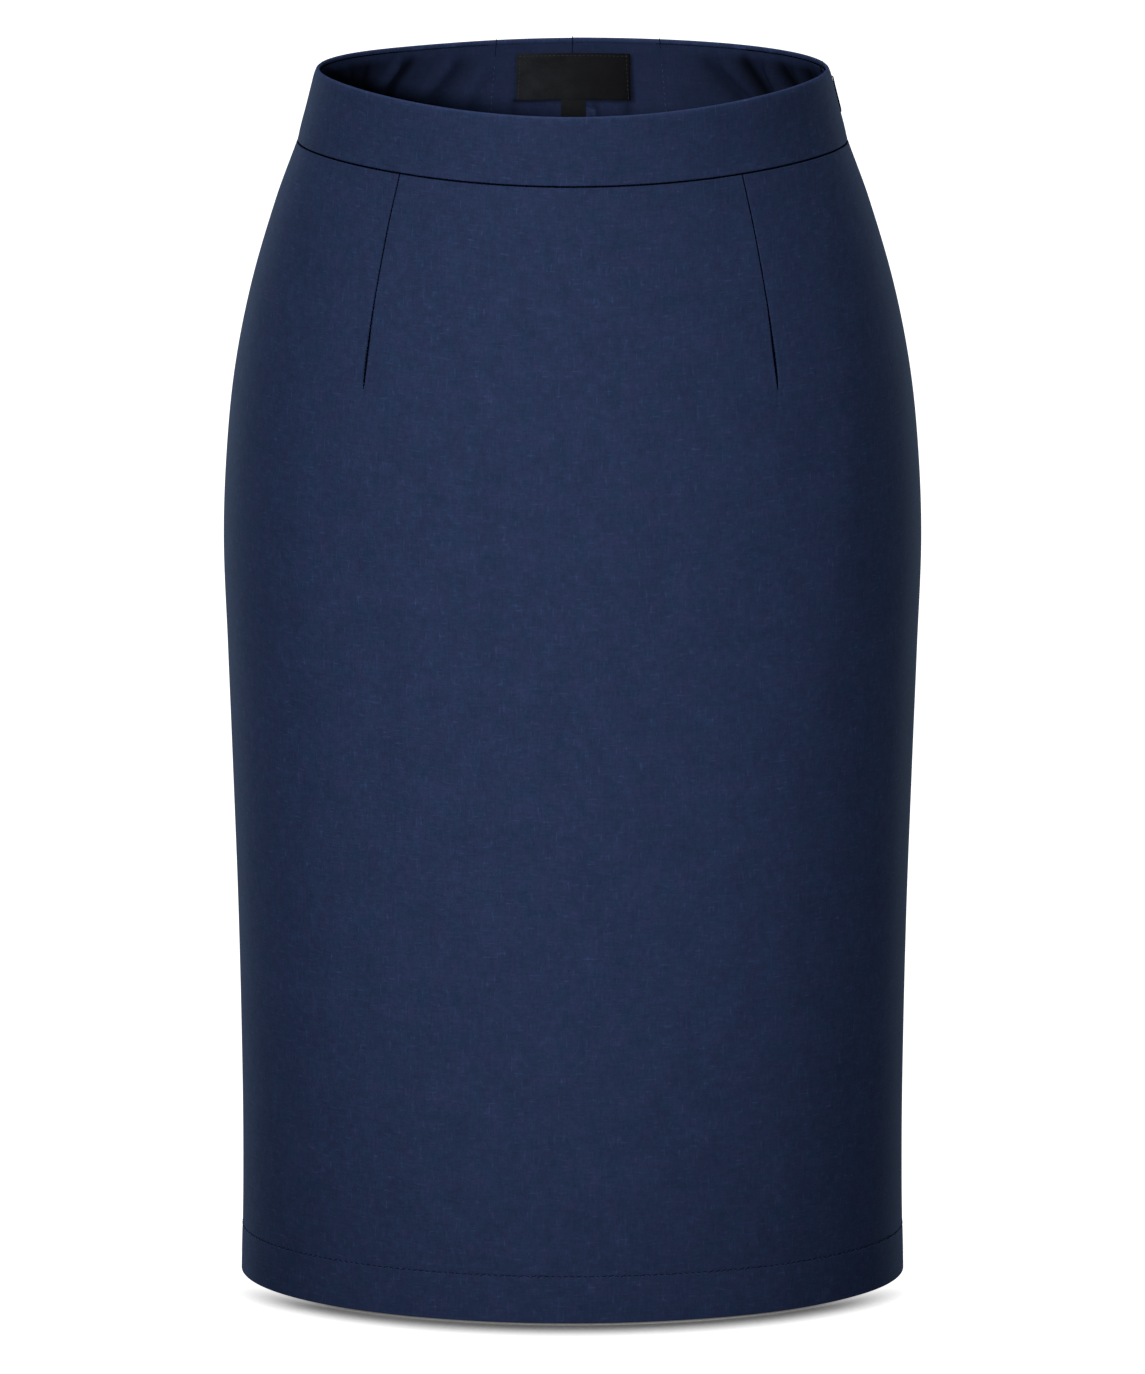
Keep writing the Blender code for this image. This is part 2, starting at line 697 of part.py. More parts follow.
def make_pull(place):
    """Make the pull tab, a flat plate that hangs from its pin in the crown."""
    outline = bpy.data.curves.new("zip_pull", "CURVE")
    outline.dimensions = "2D"
    outline.fill_mode = "BOTH"
    outline.extrude = 0.5 * PULL_THICKNESS
    for points in pull_outlines():
        spline = outline.splines.new("POLY")
        spline.points.add(len(points) - 1)
        spline.use_cyclic_u = True
        for knot, (across, up) in zip(spline.points, points):
            knot.co = (across, up, 0.0, 1.0)
    pull = add_object("zip_pull", outline, "navy_enamel")
    hinge = bpy.data.objects.new("zip_pull_hinge", None)
    collection_named("pencil_skirt").objects.link(hinge)
    hinge.parent = place
    hinge.location = (PULL_OUT, 0.0, 0.0)
    hinge.empty_display_size = 0.005
    pull.parent = hinge
    pull.rotation_euler = (math.radians(90.0), 0.0, math.radians(90.0))


def make_zip():
    """Make the concealed zip of the wearer's left side seam."""
    make_zip_tapes()
    place = bpy.data.objects.new("zip_place", None)
    collection_named("pencil_skirt").objects.link(place)
    place.matrix_world = zip_frame()
    place.empty_display_size = 0.01
    make_slider(place)
    make_pull(place)


# ---------------------------------------------------------------- the skirt

def clear_scene():
    """Remove what the scene holds."""
    for item in list(bpy.data.objects):
        bpy.data.objects.remove(item, do_unlink=True)


def main():
    """Make the whole skirt."""
    clear_scene()
    make_front_panel()
    make_back_panel_left()
    make_back_panel_right()
    make_waistband()
    make_facing()
    make_label()
    make_zip()
    bpy.context.view_layer.update()


main()
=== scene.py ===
# %% [markdown]
# # A navy pencil skirt, piece by piece
#
# This lesson dresses the rigid model of a pencil skirt. The model already has the right sizes
# and the right places. Here every cut piece becomes thin cloth again, with turned edges,
# seams, soft folds, stitches, an overlocked inside and a concealed zip.

# %% Load the frame
import json
import math

import bmesh
import bpy
import numpy as np
from mathutils import Matrix


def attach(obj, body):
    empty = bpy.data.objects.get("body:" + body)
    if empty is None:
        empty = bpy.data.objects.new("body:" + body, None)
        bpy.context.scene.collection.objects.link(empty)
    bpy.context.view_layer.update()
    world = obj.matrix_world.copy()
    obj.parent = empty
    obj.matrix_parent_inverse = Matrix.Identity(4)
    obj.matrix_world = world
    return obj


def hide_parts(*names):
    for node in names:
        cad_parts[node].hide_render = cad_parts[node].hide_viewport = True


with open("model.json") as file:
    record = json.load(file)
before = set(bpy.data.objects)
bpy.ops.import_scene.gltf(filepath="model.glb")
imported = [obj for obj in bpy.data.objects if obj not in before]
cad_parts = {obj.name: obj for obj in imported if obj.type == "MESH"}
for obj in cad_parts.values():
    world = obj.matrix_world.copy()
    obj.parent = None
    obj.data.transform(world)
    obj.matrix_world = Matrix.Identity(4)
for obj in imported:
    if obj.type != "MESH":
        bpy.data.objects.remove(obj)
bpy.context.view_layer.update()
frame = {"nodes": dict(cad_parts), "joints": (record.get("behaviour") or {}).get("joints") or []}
BODY = "skirt"
print("nodes:", sorted(frame["nodes"]))

# %% [markdown]
# ## The pattern's sizes
#
# A skirt is cut from a few measures: its length, the height of its band, how far each seam
# dips towards the front, and how big round it is at each level. The sizes are in metres.
# The height is 0 half way down the band. An angle is in degrees round the figure: 0 at the
# centre front, 90 at the wearer's left side and 180 at the centre back.
#
# A table of level sections is easier to correct than a sculpted mesh, because each row is a
# place on the figure that can be measured.

# %% Sizes of the pattern
BAND_TOP = 0.0190
WAIST_SEAM = -0.0192
HEM = -0.6210
FRONT_TOP_DIP, BACK_TOP_DIP, FRONT_SEAM_DIP = 0.0086, 0.0016, 0.0058
DIP_POWER = 2.15
HIP_LINE = -0.2300
SUNK_TOP, SUNK_MIDDLE, SUNK_REACH = 0.0012, -142.0, 26.0
SIDE_SEAM, CENTRE_BACK = 100.0, 180.0
MM = 0.001

# height, half the width, depth in front, depth behind, how much the front is drawn in
SECTIONS = np.array([
    (0.0190, 0.1326, 0.1003, 0.1029, 0.15),    # top of the band
    (0.0000, 0.1373, 0.1018, 0.1040, 0.15),    # middle of the band
    (-0.0120, 0.1405, 0.1028, 0.1051, 0.15),   # foot of the band
    (-0.0190, 0.1422, 0.1036, 0.1061, 0.14),   # waist seam
    (-0.0500, 0.1534, 0.1078, 0.1120, 0.10),   # high hip
    (-0.0950, 0.1665, 0.1138, 0.1218, 0.05),   # tummy
    (-0.1400, 0.1753, 0.1174, 0.1302, 0.02),   # dart points
    (-0.1850, 0.1798, 0.1186, 0.1350, 0.00),   # seat
    (HIP_LINE, 0.1814, 0.1182, 0.1358, 0.00),  # hip line
    (-0.2850, 0.1796, 0.1168, 0.1318, 0.00),   # below the seat
    (-0.3500, 0.1773, 0.1153, 0.1254, 0.00),   # thigh
    (-0.4300, 0.1747, 0.1141, 0.1182, 0.00),   # above the knee
    (-0.5200, 0.1731, 0.1134, 0.1118, 0.00),   # knee
    (-0.5750, 0.1731, 0.1132, 0.1086, 0.00),   # below the knee
    (-0.6210, 0.1740, 0.1132, 0.1064, 0.00),   # hem
])

# angle and length of each dart
DARTS = ((37.2, 0.112), (-38.0, 0.112), (146.0, 0.128), (-146.0, 0.128))
print("skirt length:", round(BAND_TOP - HEM, 3), "m")

# %% [markdown]
# ## The skin of the skirt
#
# Every layer of cloth lies on one skin, the outside of the skirt. A function gives the skin's
# point at any angle and height, on a smooth curve through the rows of the table. Another
# gives its outward normal, so a layer that lies deeper is the same surface moved in.
#
# The functions take whole arrays, so a fine mesh of thousands of points takes one call.

# %% The skin
def section_slopes():
    """Give the slope of each column of SECTIONS at each row."""
    above = SECTIONS[np.maximum(np.arange(len(SECTIONS)) - 1, 0)]
    below = SECTIONS[np.minimum(np.arange(len(SECTIONS)) + 1, len(SECTIONS) - 1)]
    return (below[:, 1:] - above[:, 1:]) / (below[:, :1] - above[:, :1])


SLOPES = section_slopes()


def section_values(height):
    """Read every column of SECTIONS at these heights."""
    height = np.clip(height, SECTIONS[-1, 0], SECTIONS[0, 0])
    index = np.searchsorted(-SECTIONS[:, 0], -height, side="left") - 1
    index = np.clip(index, 0, len(SECTIONS) - 2)
    span = SECTIONS[index + 1, 0] - SECTIONS[index, 0]
    t = ((height - SECTIONS[index, 0]) / span)[..., None]
    span = span[..., None]
    values = (
        SECTIONS[index, 1:] * (2.0 * t ** 3 - 3.0 * t ** 2 + 1.0)
        + SLOPES[index] * span * (t ** 3 - 2.0 * t ** 2 + t)
        + SECTIONS[index + 1, 1:] * (3.0 * t ** 2 - 2.0 * t ** 3)
        + SLOPES[index + 1] * span * (t ** 3 - t ** 2)
    )
    return np.moveaxis(values, -1, 0)


def skin_point(angle, height):
    """Give points on the outside of the skirt."""
    angle, height = np.broadcast_arrays(np.asarray(angle, float), np.asarray(height, float))
    side, ahead = np.sin(np.radians(angle)), np.cos(np.radians(angle))
    half_width, front, back, taper = section_values(height)
    depth = np.where(ahead >= 0.0, front * (1.0 - taper * side ** 2), back)
    return np.stack([half_width * side, -depth * ahead, height], axis=-1)


def skin_normal(angle, height):
    """Give the outward normals of the skin."""
    turn, rise = 0.2, 0.0005
    round_it = skin_point(angle + turn, height) - skin_point(angle - turn, height)
    up_it = skin_point(angle, height + rise) - skin_point(angle, height - rise)
    normal = np.cross(round_it, up_it)
    return normal / np.linalg.norm(normal, axis=-1, keepdims=True)


def metres_per_degree(angle, height):
    """Tell how far one degree reaches round the skin."""
    return np.linalg.norm(skin_point(angle + 0.5, height) - skin_point(angle - 0.5, height),
                          axis=-1)


def smooth_step(value, low, high):
    """Rise softly from 0 at low to 1 at high."""
    share = np.clip((value - low) / (high - low), 0.0, 1.0)
    return share * share * (3.0 - 2.0 * share)


def dip(angle, front_dip, back_dip):
    """Lower an edge towards the centre front and the centre back."""
    ahead = np.cos(np.radians(angle))
    return np.where(ahead > 0.0, front_dip, back_dip) * np.abs(ahead) ** DIP_POWER


def top_height(angle):
    """Give the height of the band's top edge, which sinks a little at the back's right."""
    sunk = SUNK_TOP * np.exp(-((angle - SUNK_MIDDLE) / SUNK_REACH) ** 2)
    return BAND_TOP - dip(angle, FRONT_TOP_DIP, BACK_TOP_DIP) - sunk


def seam_height(angle):
    """Give the height of the waist seam."""
    return WAIST_SEAM - dip(angle, FRONT_SEAM_DIP, 0.0)


def hem_height(angle):
    """Give the height of the hem, which is level."""
    return np.full_like(np.asarray(angle, float), HEM)


hip = float(np.sum(metres_per_degree(np.arange(360.0), HIP_LINE)))
print("the hip is", round(hip, 3), "m round")

# %% [markdown]
# ## How the cloth falls
#
# Real cloth is never quite even. It is full below a dart's point, drawn where a seam holds
# it, and it hangs in long shallow folds. Each of these is one soft hill or hollow, listed
# with its angle, its height, how far it reaches round and down, how far it stands out, and
# how much it leans. Only the two long ones, where the front turns to the side, stand out
# more than a millimetre, because a pressed suiting hangs smoothly. They all fade out on the
# band, which has stiffening behind it.

# %% Soft folds
# angle, height, reach round, reach down, rise, lean in degrees for each metre down
SOFT_FOLDS = np.array([
    (0.0, -0.037, 0.062, 0.0050, -0.00022, 0.0),
    (-24.0, -0.041, 0.030, 0.0050, -0.00018, 0.0),
    (22.0, -0.040, 0.034, 0.0050, -0.00020, 0.0),
    (38.0, -0.137, 0.006, 0.0090, -0.00045, 0.0),
    (-38.0, -0.137, 0.006, 0.0090, -0.00038, 0.0),
    (35.0, -0.168, 0.020, 0.0360, 0.00085, -20.0),
    (45.0, -0.158, 0.016, 0.0240, -0.00060, -30.0),
    (-36.0, -0.170, 0.022, 0.0380, 0.00060, 15.0),
    (-47.0, -0.185, 0.018, 0.0400, -0.00040, 10.0),
    (-22.0, -0.345, 0.032, 0.1450, 0.00070, 4.0),
    (-9.0, -0.385, 0.018, 0.1150, -0.00042, 3.0),
    (5.0, -0.455, 0.022, 0.1050, 0.00040, -3.0),
    (15.0, -0.300, 0.020, 0.0900, -0.00038, -6.0),
    (27.0, -0.325, 0.028, 0.1200, 0.00075, -8.0),
    (46.0, -0.250, 0.023, 0.1500, 0.00140, -72.0),
    (58.0, -0.470, 0.024, 0.1400, -0.00070, -10.0),
    (38.0, -0.455, 0.024, 0.1100, 0.00080, -6.0),
    (-47.0, -0.250, 0.023, 0.1300, 0.00130, 35.0),
    (-66.0, -0.300, 0.026, 0.1700, -0.00050, 3.0),
    (-80.0, -0.300, 0.020, 0.1300, -0.00050, 2.0),
    (79.0, -0.330, 0.020, 0.1300, -0.00050, -2.0),
    (-14.0, -0.590, 0.030, 0.0300, 0.00050, 0.0),
    (19.0, -0.600, 0.026, 0.0300, -0.00040, 0.0),
    (118.0, -0.340, 0.026, 0.1500, 0.00070, 5.0),
    (133.0, -0.410, 0.020, 0.1300, -0.00060, 4.0),
    (147.0, -0.200, 0.020, 0.0400, 0.00080, 8.0),
    (152.0, -0.390, 0.022, 0.1100, 0.00065, -6.0),
    (165.0, -0.300, 0.018, 0.0900, -0.00055, -5.0),
    (-116.0, -0.360, 0.026, 0.1500, 0.00075, -5.0),
    (-131.0, -0.330, 0.020, 0.1300, -0.00055, -4.0),
    (-147.0, -0.205, 0.020, 0.0420, 0.00070, -9.0),
    (-150.0, -0.420, 0.022, 0.1200, 0.00060, 6.0),
    (-166.0, -0.280, 0.018, 0.0900, -0.00060, 5.0),
])
DEGREE_AT_HIP = 0.0026
# the share of a fold that is left on the band, and how far below and above the seam it fades
BAND_KEEPS, FADE_BELOW, FADE_ABOVE = 0.15, 0.015, 0.005


def drape(angle, height):
    """Tell how far the falling cloth stands out from the skin."""
    rise = np.zeros(np.broadcast(angle, height).shape)
    for middle, level, round_it, down, amount, lean in SOFT_FOLDS:
        apart = (angle - middle + 180.0) % 360.0 - 180.0
        across = (apart + lean * (height - level)) * DEGREE_AT_HIP / round_it
        rise += amount * np.exp(-across ** 2 - ((height - level) / down) ** 2)
    seam = seam_height(angle)
    hangs = 1.0 - smooth_step(height, seam - FADE_BELOW, seam + FADE_ABOVE)
    return rise * (BAND_KEEPS + (1.0 - BAND_KEEPS) * hangs)


def layer(angle, height, inset):
    """Give points of a layer that lies this deep under the skin of the falling cloth."""
    depth = np.asarray(inset - drape(angle, height))[..., None]
    return skin_point(angle, height) - skin_normal(angle, height) * depth


print(len(SOFT_FOLDS), "soft folds, the largest",
      round(float(np.abs(SOFT_FOLDS[:, 4]).max()) / MM, 2), "mm")

# %% [markdown]
# ## Turned edges
#
# No edge of a sewn garment is a bare cut. At a seam the cloth turns in over a small round
# edge and runs back inside as a seam allowance. At the hem it turns up. This is what makes
# a real seam read as a soft dark line between two rounded lips.
#
# One function follows the cloth from its raw end, over the turn and a little way on. For
# each point it tells how far from the edge it lies, how deep, and how far it has turned.
# Near the turn the points are close together, because that is where the light changes.

# %% The turned edge
EDGE_RADIUS = 0.00060
HALF_SEAM_GAP = -0.00004
WAIST_RADIUS, WAIST_GAP = 0.00060, 0.00040
ALLOWANCE, ALLOWANCE_STEP = 0.012, 0.004
NEAR_EDGE = (0.0004, 0.0010, 0.0020, 0.0036)


def turned_run(allowance=0.0, radius=EDGE_RADIUS, turn=np.pi, steps=8, near=NEAR_EDGE):
    """Give distance from the edge, depth, turn, place along the cloth and hidden length."""
    count = int(round(allowance / ALLOWANCE_STEP))
    hidden = np.linspace(allowance, 0.0, count, endpoint=False) if count else np.zeros(0)
    arc, near = np.linspace(turn, 0.0, steps), np.asarray(near)
    away = [radius + hidden, radius - radius * np.sin(arc), radius + near]
    depth = [hidden * 0.0 + 2.0 * radius, radius - radius * np.cos(arc), near * 0.0]
    turns = [hidden * 0.0 + np.pi, arc, near * 0.0]
    along = [radius - np.pi * radius - hidden, radius - radius * arc, radius + near]
    inside = [hidden, arc * 0.0, near * 0.0]
    return [np.concatenate(part) for part in (away, depth, turns, along, inside)]


print("a seam's two lips are", round(4 * EDGE_RADIUS / MM, 1), "mm across")

# %% [markdown]
# ## From a grid to a sheet of cloth
#
# A cut piece is a grid: rows go down it and columns go round it. Each column hangs from an
# angle, moved by some millimetres, so it stays as far from its seam at every height. Each
# row lies at a share of the piece's height. Near the edges both carry the turn.
#
# The mesh also stores where each point lies on the flat cloth, in metres, as a UV map named
# cloth. The weave follows this map, so it runs straight down the piece and turns with it.

# %% Columns
# which field of a column holds the angle that it hangs from, its offset and its hidden length
ANCHOR, OFFSET, HIDDEN = 0, 1, 4


def fields(*values):
    """Put the fields of columns or rows side by side."""
    values = [np.atleast_1d(np.asarray(value, float)) for value in values]
    return np.stack(np.broadcast_arrays(*values), axis=1)


def columns_of(angle, offset=0.0, depth=0.0, sink=0.0, hidden=0.0):
    """Give columns: angle, offset, depth in a turn, depth below and hidden length."""
    return fields(angle, offset, depth, sink, hidden)


def edge_columns(angle, way, allowance=ALLOWANCE, gap=HALF_SEAM_GAP, **run):
    """Give the columns of a turned edge. The piece lies on the side that way tells."""
    away, depth, _turn, _along, inside = turned_run(allowance, **run)
    columns = columns_of(angle, way * (away + gap), depth, 0.0, way * inside)
    return columns if way > 0 else columns[::-1]


# how far the columns beside a dart lie from its seam
DART_OFFSETS = MM * np.array([0.0, 0.20, 0.28, 0.34, 0.40, 0.47, 0.54, 0.61, 0.68, 0.78, 0.92,
                              1.1, 1.4, 2.2, 3.3, 4.7])
DART_REACH, EDGE_REACH = 0.0062, 0.0052
COLUMN_STEP = 0.0037


def fill_columns(start, stop, step=COLUMN_STEP, marks=DARTS):
    """Give even columns between two edges, with fine ones at each dart."""
    anchors = [(start, EDGE_REACH)]
    anchors += sorted((angle, DART_REACH) for angle, _length in marks if start < angle < stop)
    anchors += [(stop, EDGE_REACH)]
    parts = []
    for (left, left_reach), (right, right_reach) in zip(anchors, anchors[1:]):
        low = left + left_reach / float(metres_per_degree(left, WAIST_SEAM))
        high = right - right_reach / float(metres_per_degree(right, WAIST_SEAM))
        span = (high - low) * float(metres_per_degree(0.5 * (low + high), -0.2))
        count = max(int(round(span / step)), 1)
        parts.append(columns_of(np.linspace(low, high, count + 1)))
        if right < stop:
            parts.append(columns_of(right, np.concatenate([-DART_OFFSETS[:0:-1],
                                                           DART_OFFSETS])))
    return np.concatenate(parts)


print(len(fill_columns(-SIDE_SEAM, SIDE_SEAM)), "columns across the front")

# %% Rows
# the fields of a row: share of the height, shift, depth, turn and place down the cloth
SHARE, SHIFT, DEPTH, TURN, ALONG = range(5)


def edge_rows(share, way, length, allowance=0.0, gap=HALF_SEAM_GAP, **run):
    """Give the rows of a turned edge: share, shift, depth, turn and place down the cloth."""
    away, depth, turn, along, _inside = turned_run(allowance, **run)
    rows = fields(share, way * (away + gap), depth, turn, along if way < 0 else length - along)
    return rows if way < 0 else rows[::-1]


def plain_rows(shares, length):
    """Give rows that don't turn."""
    shares = np.asarray(shares, float)
    return fields(shares, 0.0, 0.0, 0.0, shares * length)


print(len(edge_rows(1.0, 1, 0.0, ALLOWANCE)), "rows in a turned edge")

# %% Laying out a sheet
def lay_out(columns, rows, upper, lower, sink, side=1.0, move=None):
    """Place a grid of points. Also give each point's angle and height."""
    anchor, offset, column_depth, column_sink, _hidden = columns.T
    share, shift, row_depth, row_turn, _down = (part[:, None] for part in rows.T)
    level = upper(anchor) + (lower(anchor) - upper(anchor)) * share + shift
    shifted = offset + (move(columns, level) if move else 0.0)
    angle = anchor + shifted / metres_per_degree(anchor, level)
    height = upper(angle) + (lower(angle) - upper(angle)) * share + shift
    depth = row_depth + column_depth * np.cos(row_turn)
    inset = side * depth + column_sink + sink(angle, height)
    return layer(angle, height, inset), angle, height


def flat_map(points, rows, middle):
    """Give each point's place on the flat cloth, from a column that stays straight."""
    steps = np.linalg.norm(np.diff(points, axis=1), axis=-1)
    across = np.concatenate([np.zeros((len(points), 1)), np.cumsum(steps, axis=1)], axis=1)
    across -= across[:, middle:middle + 1]
    return np.stack([across, np.broadcast_to(-rows[:, ALONG, None], across.shape)], axis=-1)


def sheet_mesh(name, points, flat, exists, inside_out=False):
    """Make a mesh from a grid of points, its flat map and which of its points exist."""
    index = np.full(exists.shape, -1)
    index[exists] = np.arange(exists.sum())
    cells = np.stack([index[:-1, :-1], index[1:, :-1], index[1:, 1:], index[:-1, 1:]], -1)
    faces = cells[(cells >= 0).all(axis=-1)]
    faces = faces[:, ::-1] if inside_out else faces
    mesh = bpy.data.meshes.new(name)
    mesh.from_pydata(points[exists].tolist(), [], faces.tolist())
    mesh.uv_layers.new(name="cloth")
    mesh.uv_layers["cloth"].data.foreach_set(
        "uv", flat[exists][faces.ravel()].astype(np.float32).ravel())
    mesh.shade_smooth()
    return mesh


# %% Adding a piece
def in_scene(name, data):
    """Make an object from this data and put it in the scene."""
    thing = bpy.data.objects.new(name, data)
    bpy.context.scene.collection.objects.link(thing)
    return thing


def add_piece(name, mesh, material, body=BODY):
    """Put a mesh in the scene as a piece that rides on a body."""
    piece = in_scene(name, mesh)
    mesh.materials.clear()
    mesh.materials.append(material)
    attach(piece, body)
    return piece


def set_painted_shade_and_highlight(piece, painted_shade_and_highlight):
    """Give a piece's cloth its painted shade, from 0 to 1, and below 0 its painted highlight."""
    values = piece.data.attributes.new("painted_shade_and_highlight", "FLOAT", "POINT")
    values.data.foreach_set("value", np.asarray(painted_shade_and_highlight, np.float32).ravel())


def add_sheet(node, columns, rows, upper, lower, sink, material, thickness,
              exists=None, side=1.0, move=None):
    """Make one cut piece of cloth, thicken it and let it stand for its solid."""
    points, angle, height = lay_out(columns, rows, upper, lower, sink, side, move)
    shown = np.ones(angle.shape, bool) if exists is None else exists(columns, rows, height)
    middle = int(np.argmin(np.abs(columns[:, ANCHOR] - columns[:, ANCHOR].mean())))
    flat = flat_map(points, rows, middle)
    name = node + "_sheet"
    mesh = sheet_mesh(name, points, flat, shown, inside_out=side < 0.0)
    piece = add_piece(name, mesh, material)
    wall = piece.modifiers.new("cloth", "SOLIDIFY")
    wall.offset, wall.thickness = -1.0, thickness
    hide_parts(node)
    return piece, angle, height


# %% [markdown]
# ## Finishes: how a shader tree is put together
#
# A material is a small tree of nodes. One helper adds a node, sets it up and feeds its
# inputs, either with a value or with another node's output. The others use it to calculate,
# to add a noise or to multiply, so that each finish below reads as a short recipe.

# %% Helpers for node trees
NOISE_ROUGHNESS = 0.6


def put(tree, kind, inputs=(), **settings):
    """Add a node to a tree, set its properties and feed its inputs."""
    node = tree.nodes.new(kind)
    for name, value in settings.items():
        setattr(node, name, value)
    for key, value in dict(inputs).items():
        if isinstance(value, bpy.types.NodeSocket):
            tree.links.new(value, node.inputs[key])
        else:
            node.inputs[key].default_value = value
    return node


def calc(tree, operation, *values):
    """Add a node that calculates with these values, and give its result."""
    return put(tree, "ShaderNodeMath", dict(enumerate(values)), operation=operation).outputs[0]


def new_material(name):
    """Make a material with a Principled shader. Give it, its tree and its shader."""
    material = bpy.data.materials.new(name)
    material.use_nodes = True
    return material, material.node_tree, material.node_tree.nodes["Principled BSDF"]


def stretched_noise(tree, place, across, down, detail=2.0):
    """Add a noise whose grains are so many to the metre across and down."""
    scaled = put(tree, "ShaderNodeVectorMath", {0: place, 1: (across, down, 1.0)},
                 operation="MULTIPLY")
    noise = put(tree, "ShaderNodeTexNoise",
                {"Vector": scaled.outputs[0], "Scale": 1.0, "Detail": detail,
                 "Roughness": NOISE_ROUGHNESS}, noise_dimensions="2D")
    return noise.outputs["Fac"]


def centred(tree, value, amount):
    """Turn a noise around one half into a factor around 1."""
    return calc(tree, "MULTIPLY_ADD", calc(tree, "SUBTRACT", value, 0.5), amount, 1.0)


def product(tree, *values):
    """Multiply several values."""
    total = values[0]
    for value in values[1:]:
        total = calc(tree, "MULTIPLY", total, value)
    return total


# %% [markdown]
# ## The navy suiting
#
# The cloth is a fine melange: its yarns are spun from fibres of several blues, so the
# surface is a quiet mix of short light and dark streaks, along the warp and along the weft.
# Two stretched noises give these streaks, and two finer pairs give the grain of the weave
# and its slubs, which are thick places in a yarn. A slow noise gives the faint cloudiness of
# dyed cloth, and another lets the hue drift a little.
#
# The same noises raise the surface through a bump of a few hundredths of a millimetre. An
# attribute paints shade on the cloth deep in the facing's folds, towards its sides and under
# the label, and paints a highlight along the band's rim.

# %% The dimples of the hem's stitches
HEM_DEPTH = 0.025
HEM_SPACING, DIMPLE_RADIUS = 0.0033, 0.0014
HEM_LINE = WAIST_SEAM - HEM - HEM_DEPTH


def hem_dimples(tree, place):
    """Give the row of small dimples that the hem's stitches leave, from 0 to 1."""
    parts = put(tree, "ShaderNodeSeparateXYZ", {0: place})
    across = calc(tree, "PINGPONG", parts.outputs[0], 0.5 * HEM_SPACING)
    down = calc(tree, "ADD", parts.outputs[1], HEM_LINE)
    both = put(tree, "ShaderNodeCombineXYZ", {0: across, 1: down})
    apart = put(tree, "ShaderNodeVectorMath", {0: both.outputs[0]}, operation="LENGTH")
    dimple = put(tree, "ShaderNodeMapRange", {"Value": apart.outputs["Value"],
                                              "From Max": DIMPLE_RADIUS, "To Min": 1.0,
                                              "To Max": 0.0}, interpolation_type="SMOOTHSTEP")
    strength = put(tree, "ShaderNodeMapRange",
                   {"Value": stretched_noise(tree, place, 22.0, 1.0), "From Min": 0.35,
                    "From Max": 0.65, "To Min": 0.35, "To Max": 1.0})
    return product(tree, dimple.outputs[0], strength.outputs[0])


print("a dimple each", round(HEM_SPACING / MM, 1), "mm round,", round(HEM_DEPTH / MM),
      "mm above the hem")

# %% The suiting
# each noise's grains to the metre across and down, its detail and how strongly it shows
MELANGE = {"warp": (820.0, 150.0, 2.0, 0.31), "weft": (150.0, 820.0, 2.0, 0.31),
           "grain": (1000.0, 1000.0, 2.0, 0.44), "blur": (230.0, 230.0, 2.0, 0.36),
           "cloud": (60.0, 45.0, 3.0, 0.32)}
SLUBS, SLUB_GAIN = ((780.0, 130.0), (130.0, 780.0)), 0.36
SLUB_SHIFT = (7.0, 3.0, 0.0)  # a step aside, so that slubs and streaks don't coincide
COOL_TINT, WARM_TINT = (0.87, 1.01, 0.98), (1.13, 0.985, 1.02)
GRAIN_HEIGHT, DIMPLE_HEIGHT = 1.3, -4.5


def melange(name, colour, contrast=1.0, hemmed=False):
    """Make a melange cloth of this colour, with its piece's painted shade and highlight."""
    material, tree, shader = new_material(name)
    place = put(tree, "ShaderNodeUVMap", uv_map="cloth").outputs[0]
    noises = {title: stretched_noise(tree, place, across, down, detail)
              for title, (across, down, detail, _gain) in MELANGE.items()}
    shifted = put(tree, "ShaderNodeVectorMath", {0: place, 1: SLUB_SHIFT}, operation="ADD")
    slubs = [put(tree, "ShaderNodeMapRange",
                 {"Value": stretched_noise(tree, shifted.outputs[0], *size, detail=1.0),
                  "From Min": 0.68, "From Max": 0.80, "To Min": 1.0,
                  "To Max": 1.0 + SLUB_GAIN * contrast}).outputs[0] for size in SLUBS]
    parts = [centred(tree, noises[title], gain * contrast)
             for title, (*_size, gain) in MELANGE.items()] + slubs
    # painted shade and painted highlight, read from the piece's attribute
    painted_shade_and_highlight = put(tree, "ShaderNodeAttribute", attribute_name="painted_shade_and_highlight")
    parts.append(calc(tree, "SUBTRACT", 1.0, painted_shade_and_highlight.outputs["Fac"]))
    shade = product(tree, *parts)
    cool, warm = ([part * share for part, share in zip(colour, tint)]
                  for tint in (COOL_TINT, WARM_TINT))
    hue = put(tree, "ShaderNodeMapRange",
              {"Value": stretched_noise(tree, place, 110.0, 90.0, detail=4.0),
               "From Min": 0.28, "From Max": 0.72})
    tint = put(tree, "ShaderNodeMix", {0: hue.outputs[0], 6: (*cool, 1.0), 7: (*warm, 1.0)},
               data_type="RGBA")
    dyed = put(tree, "ShaderNodeVectorMath", {0: tint.outputs[2]}, operation="SCALE")
    tree.links.new(shade, dyed.inputs["Scale"])
    tree.links.new(dyed.outputs[0], shader.inputs["Base Color"])
    raised = calc(tree, "ADD", noises["warp"], noises["weft"])
    raised = calc(tree, "MULTIPLY_ADD", noises["grain"], GRAIN_HEIGHT, raised)
    if hemmed:
        raised = calc(tree, "MULTIPLY_ADD", hem_dimples(tree, place), DIMPLE_HEIGHT, raised)
    bump = put(tree, "ShaderNodeBump", {"Height": raised, "Strength": 0.45,
                                        "Distance": 0.00010})
    tree.links.new(bump.outputs[0], shader.inputs["Normal"])
    shader.inputs["Roughness"].default_value = 0.80
    shader.inputs["Specular IOR Level"].default_value = 0.05
    print(name, "of colour", colour)
    return material


SUITING_COLOUR = (0.0192, 0.0313, 0.0780)
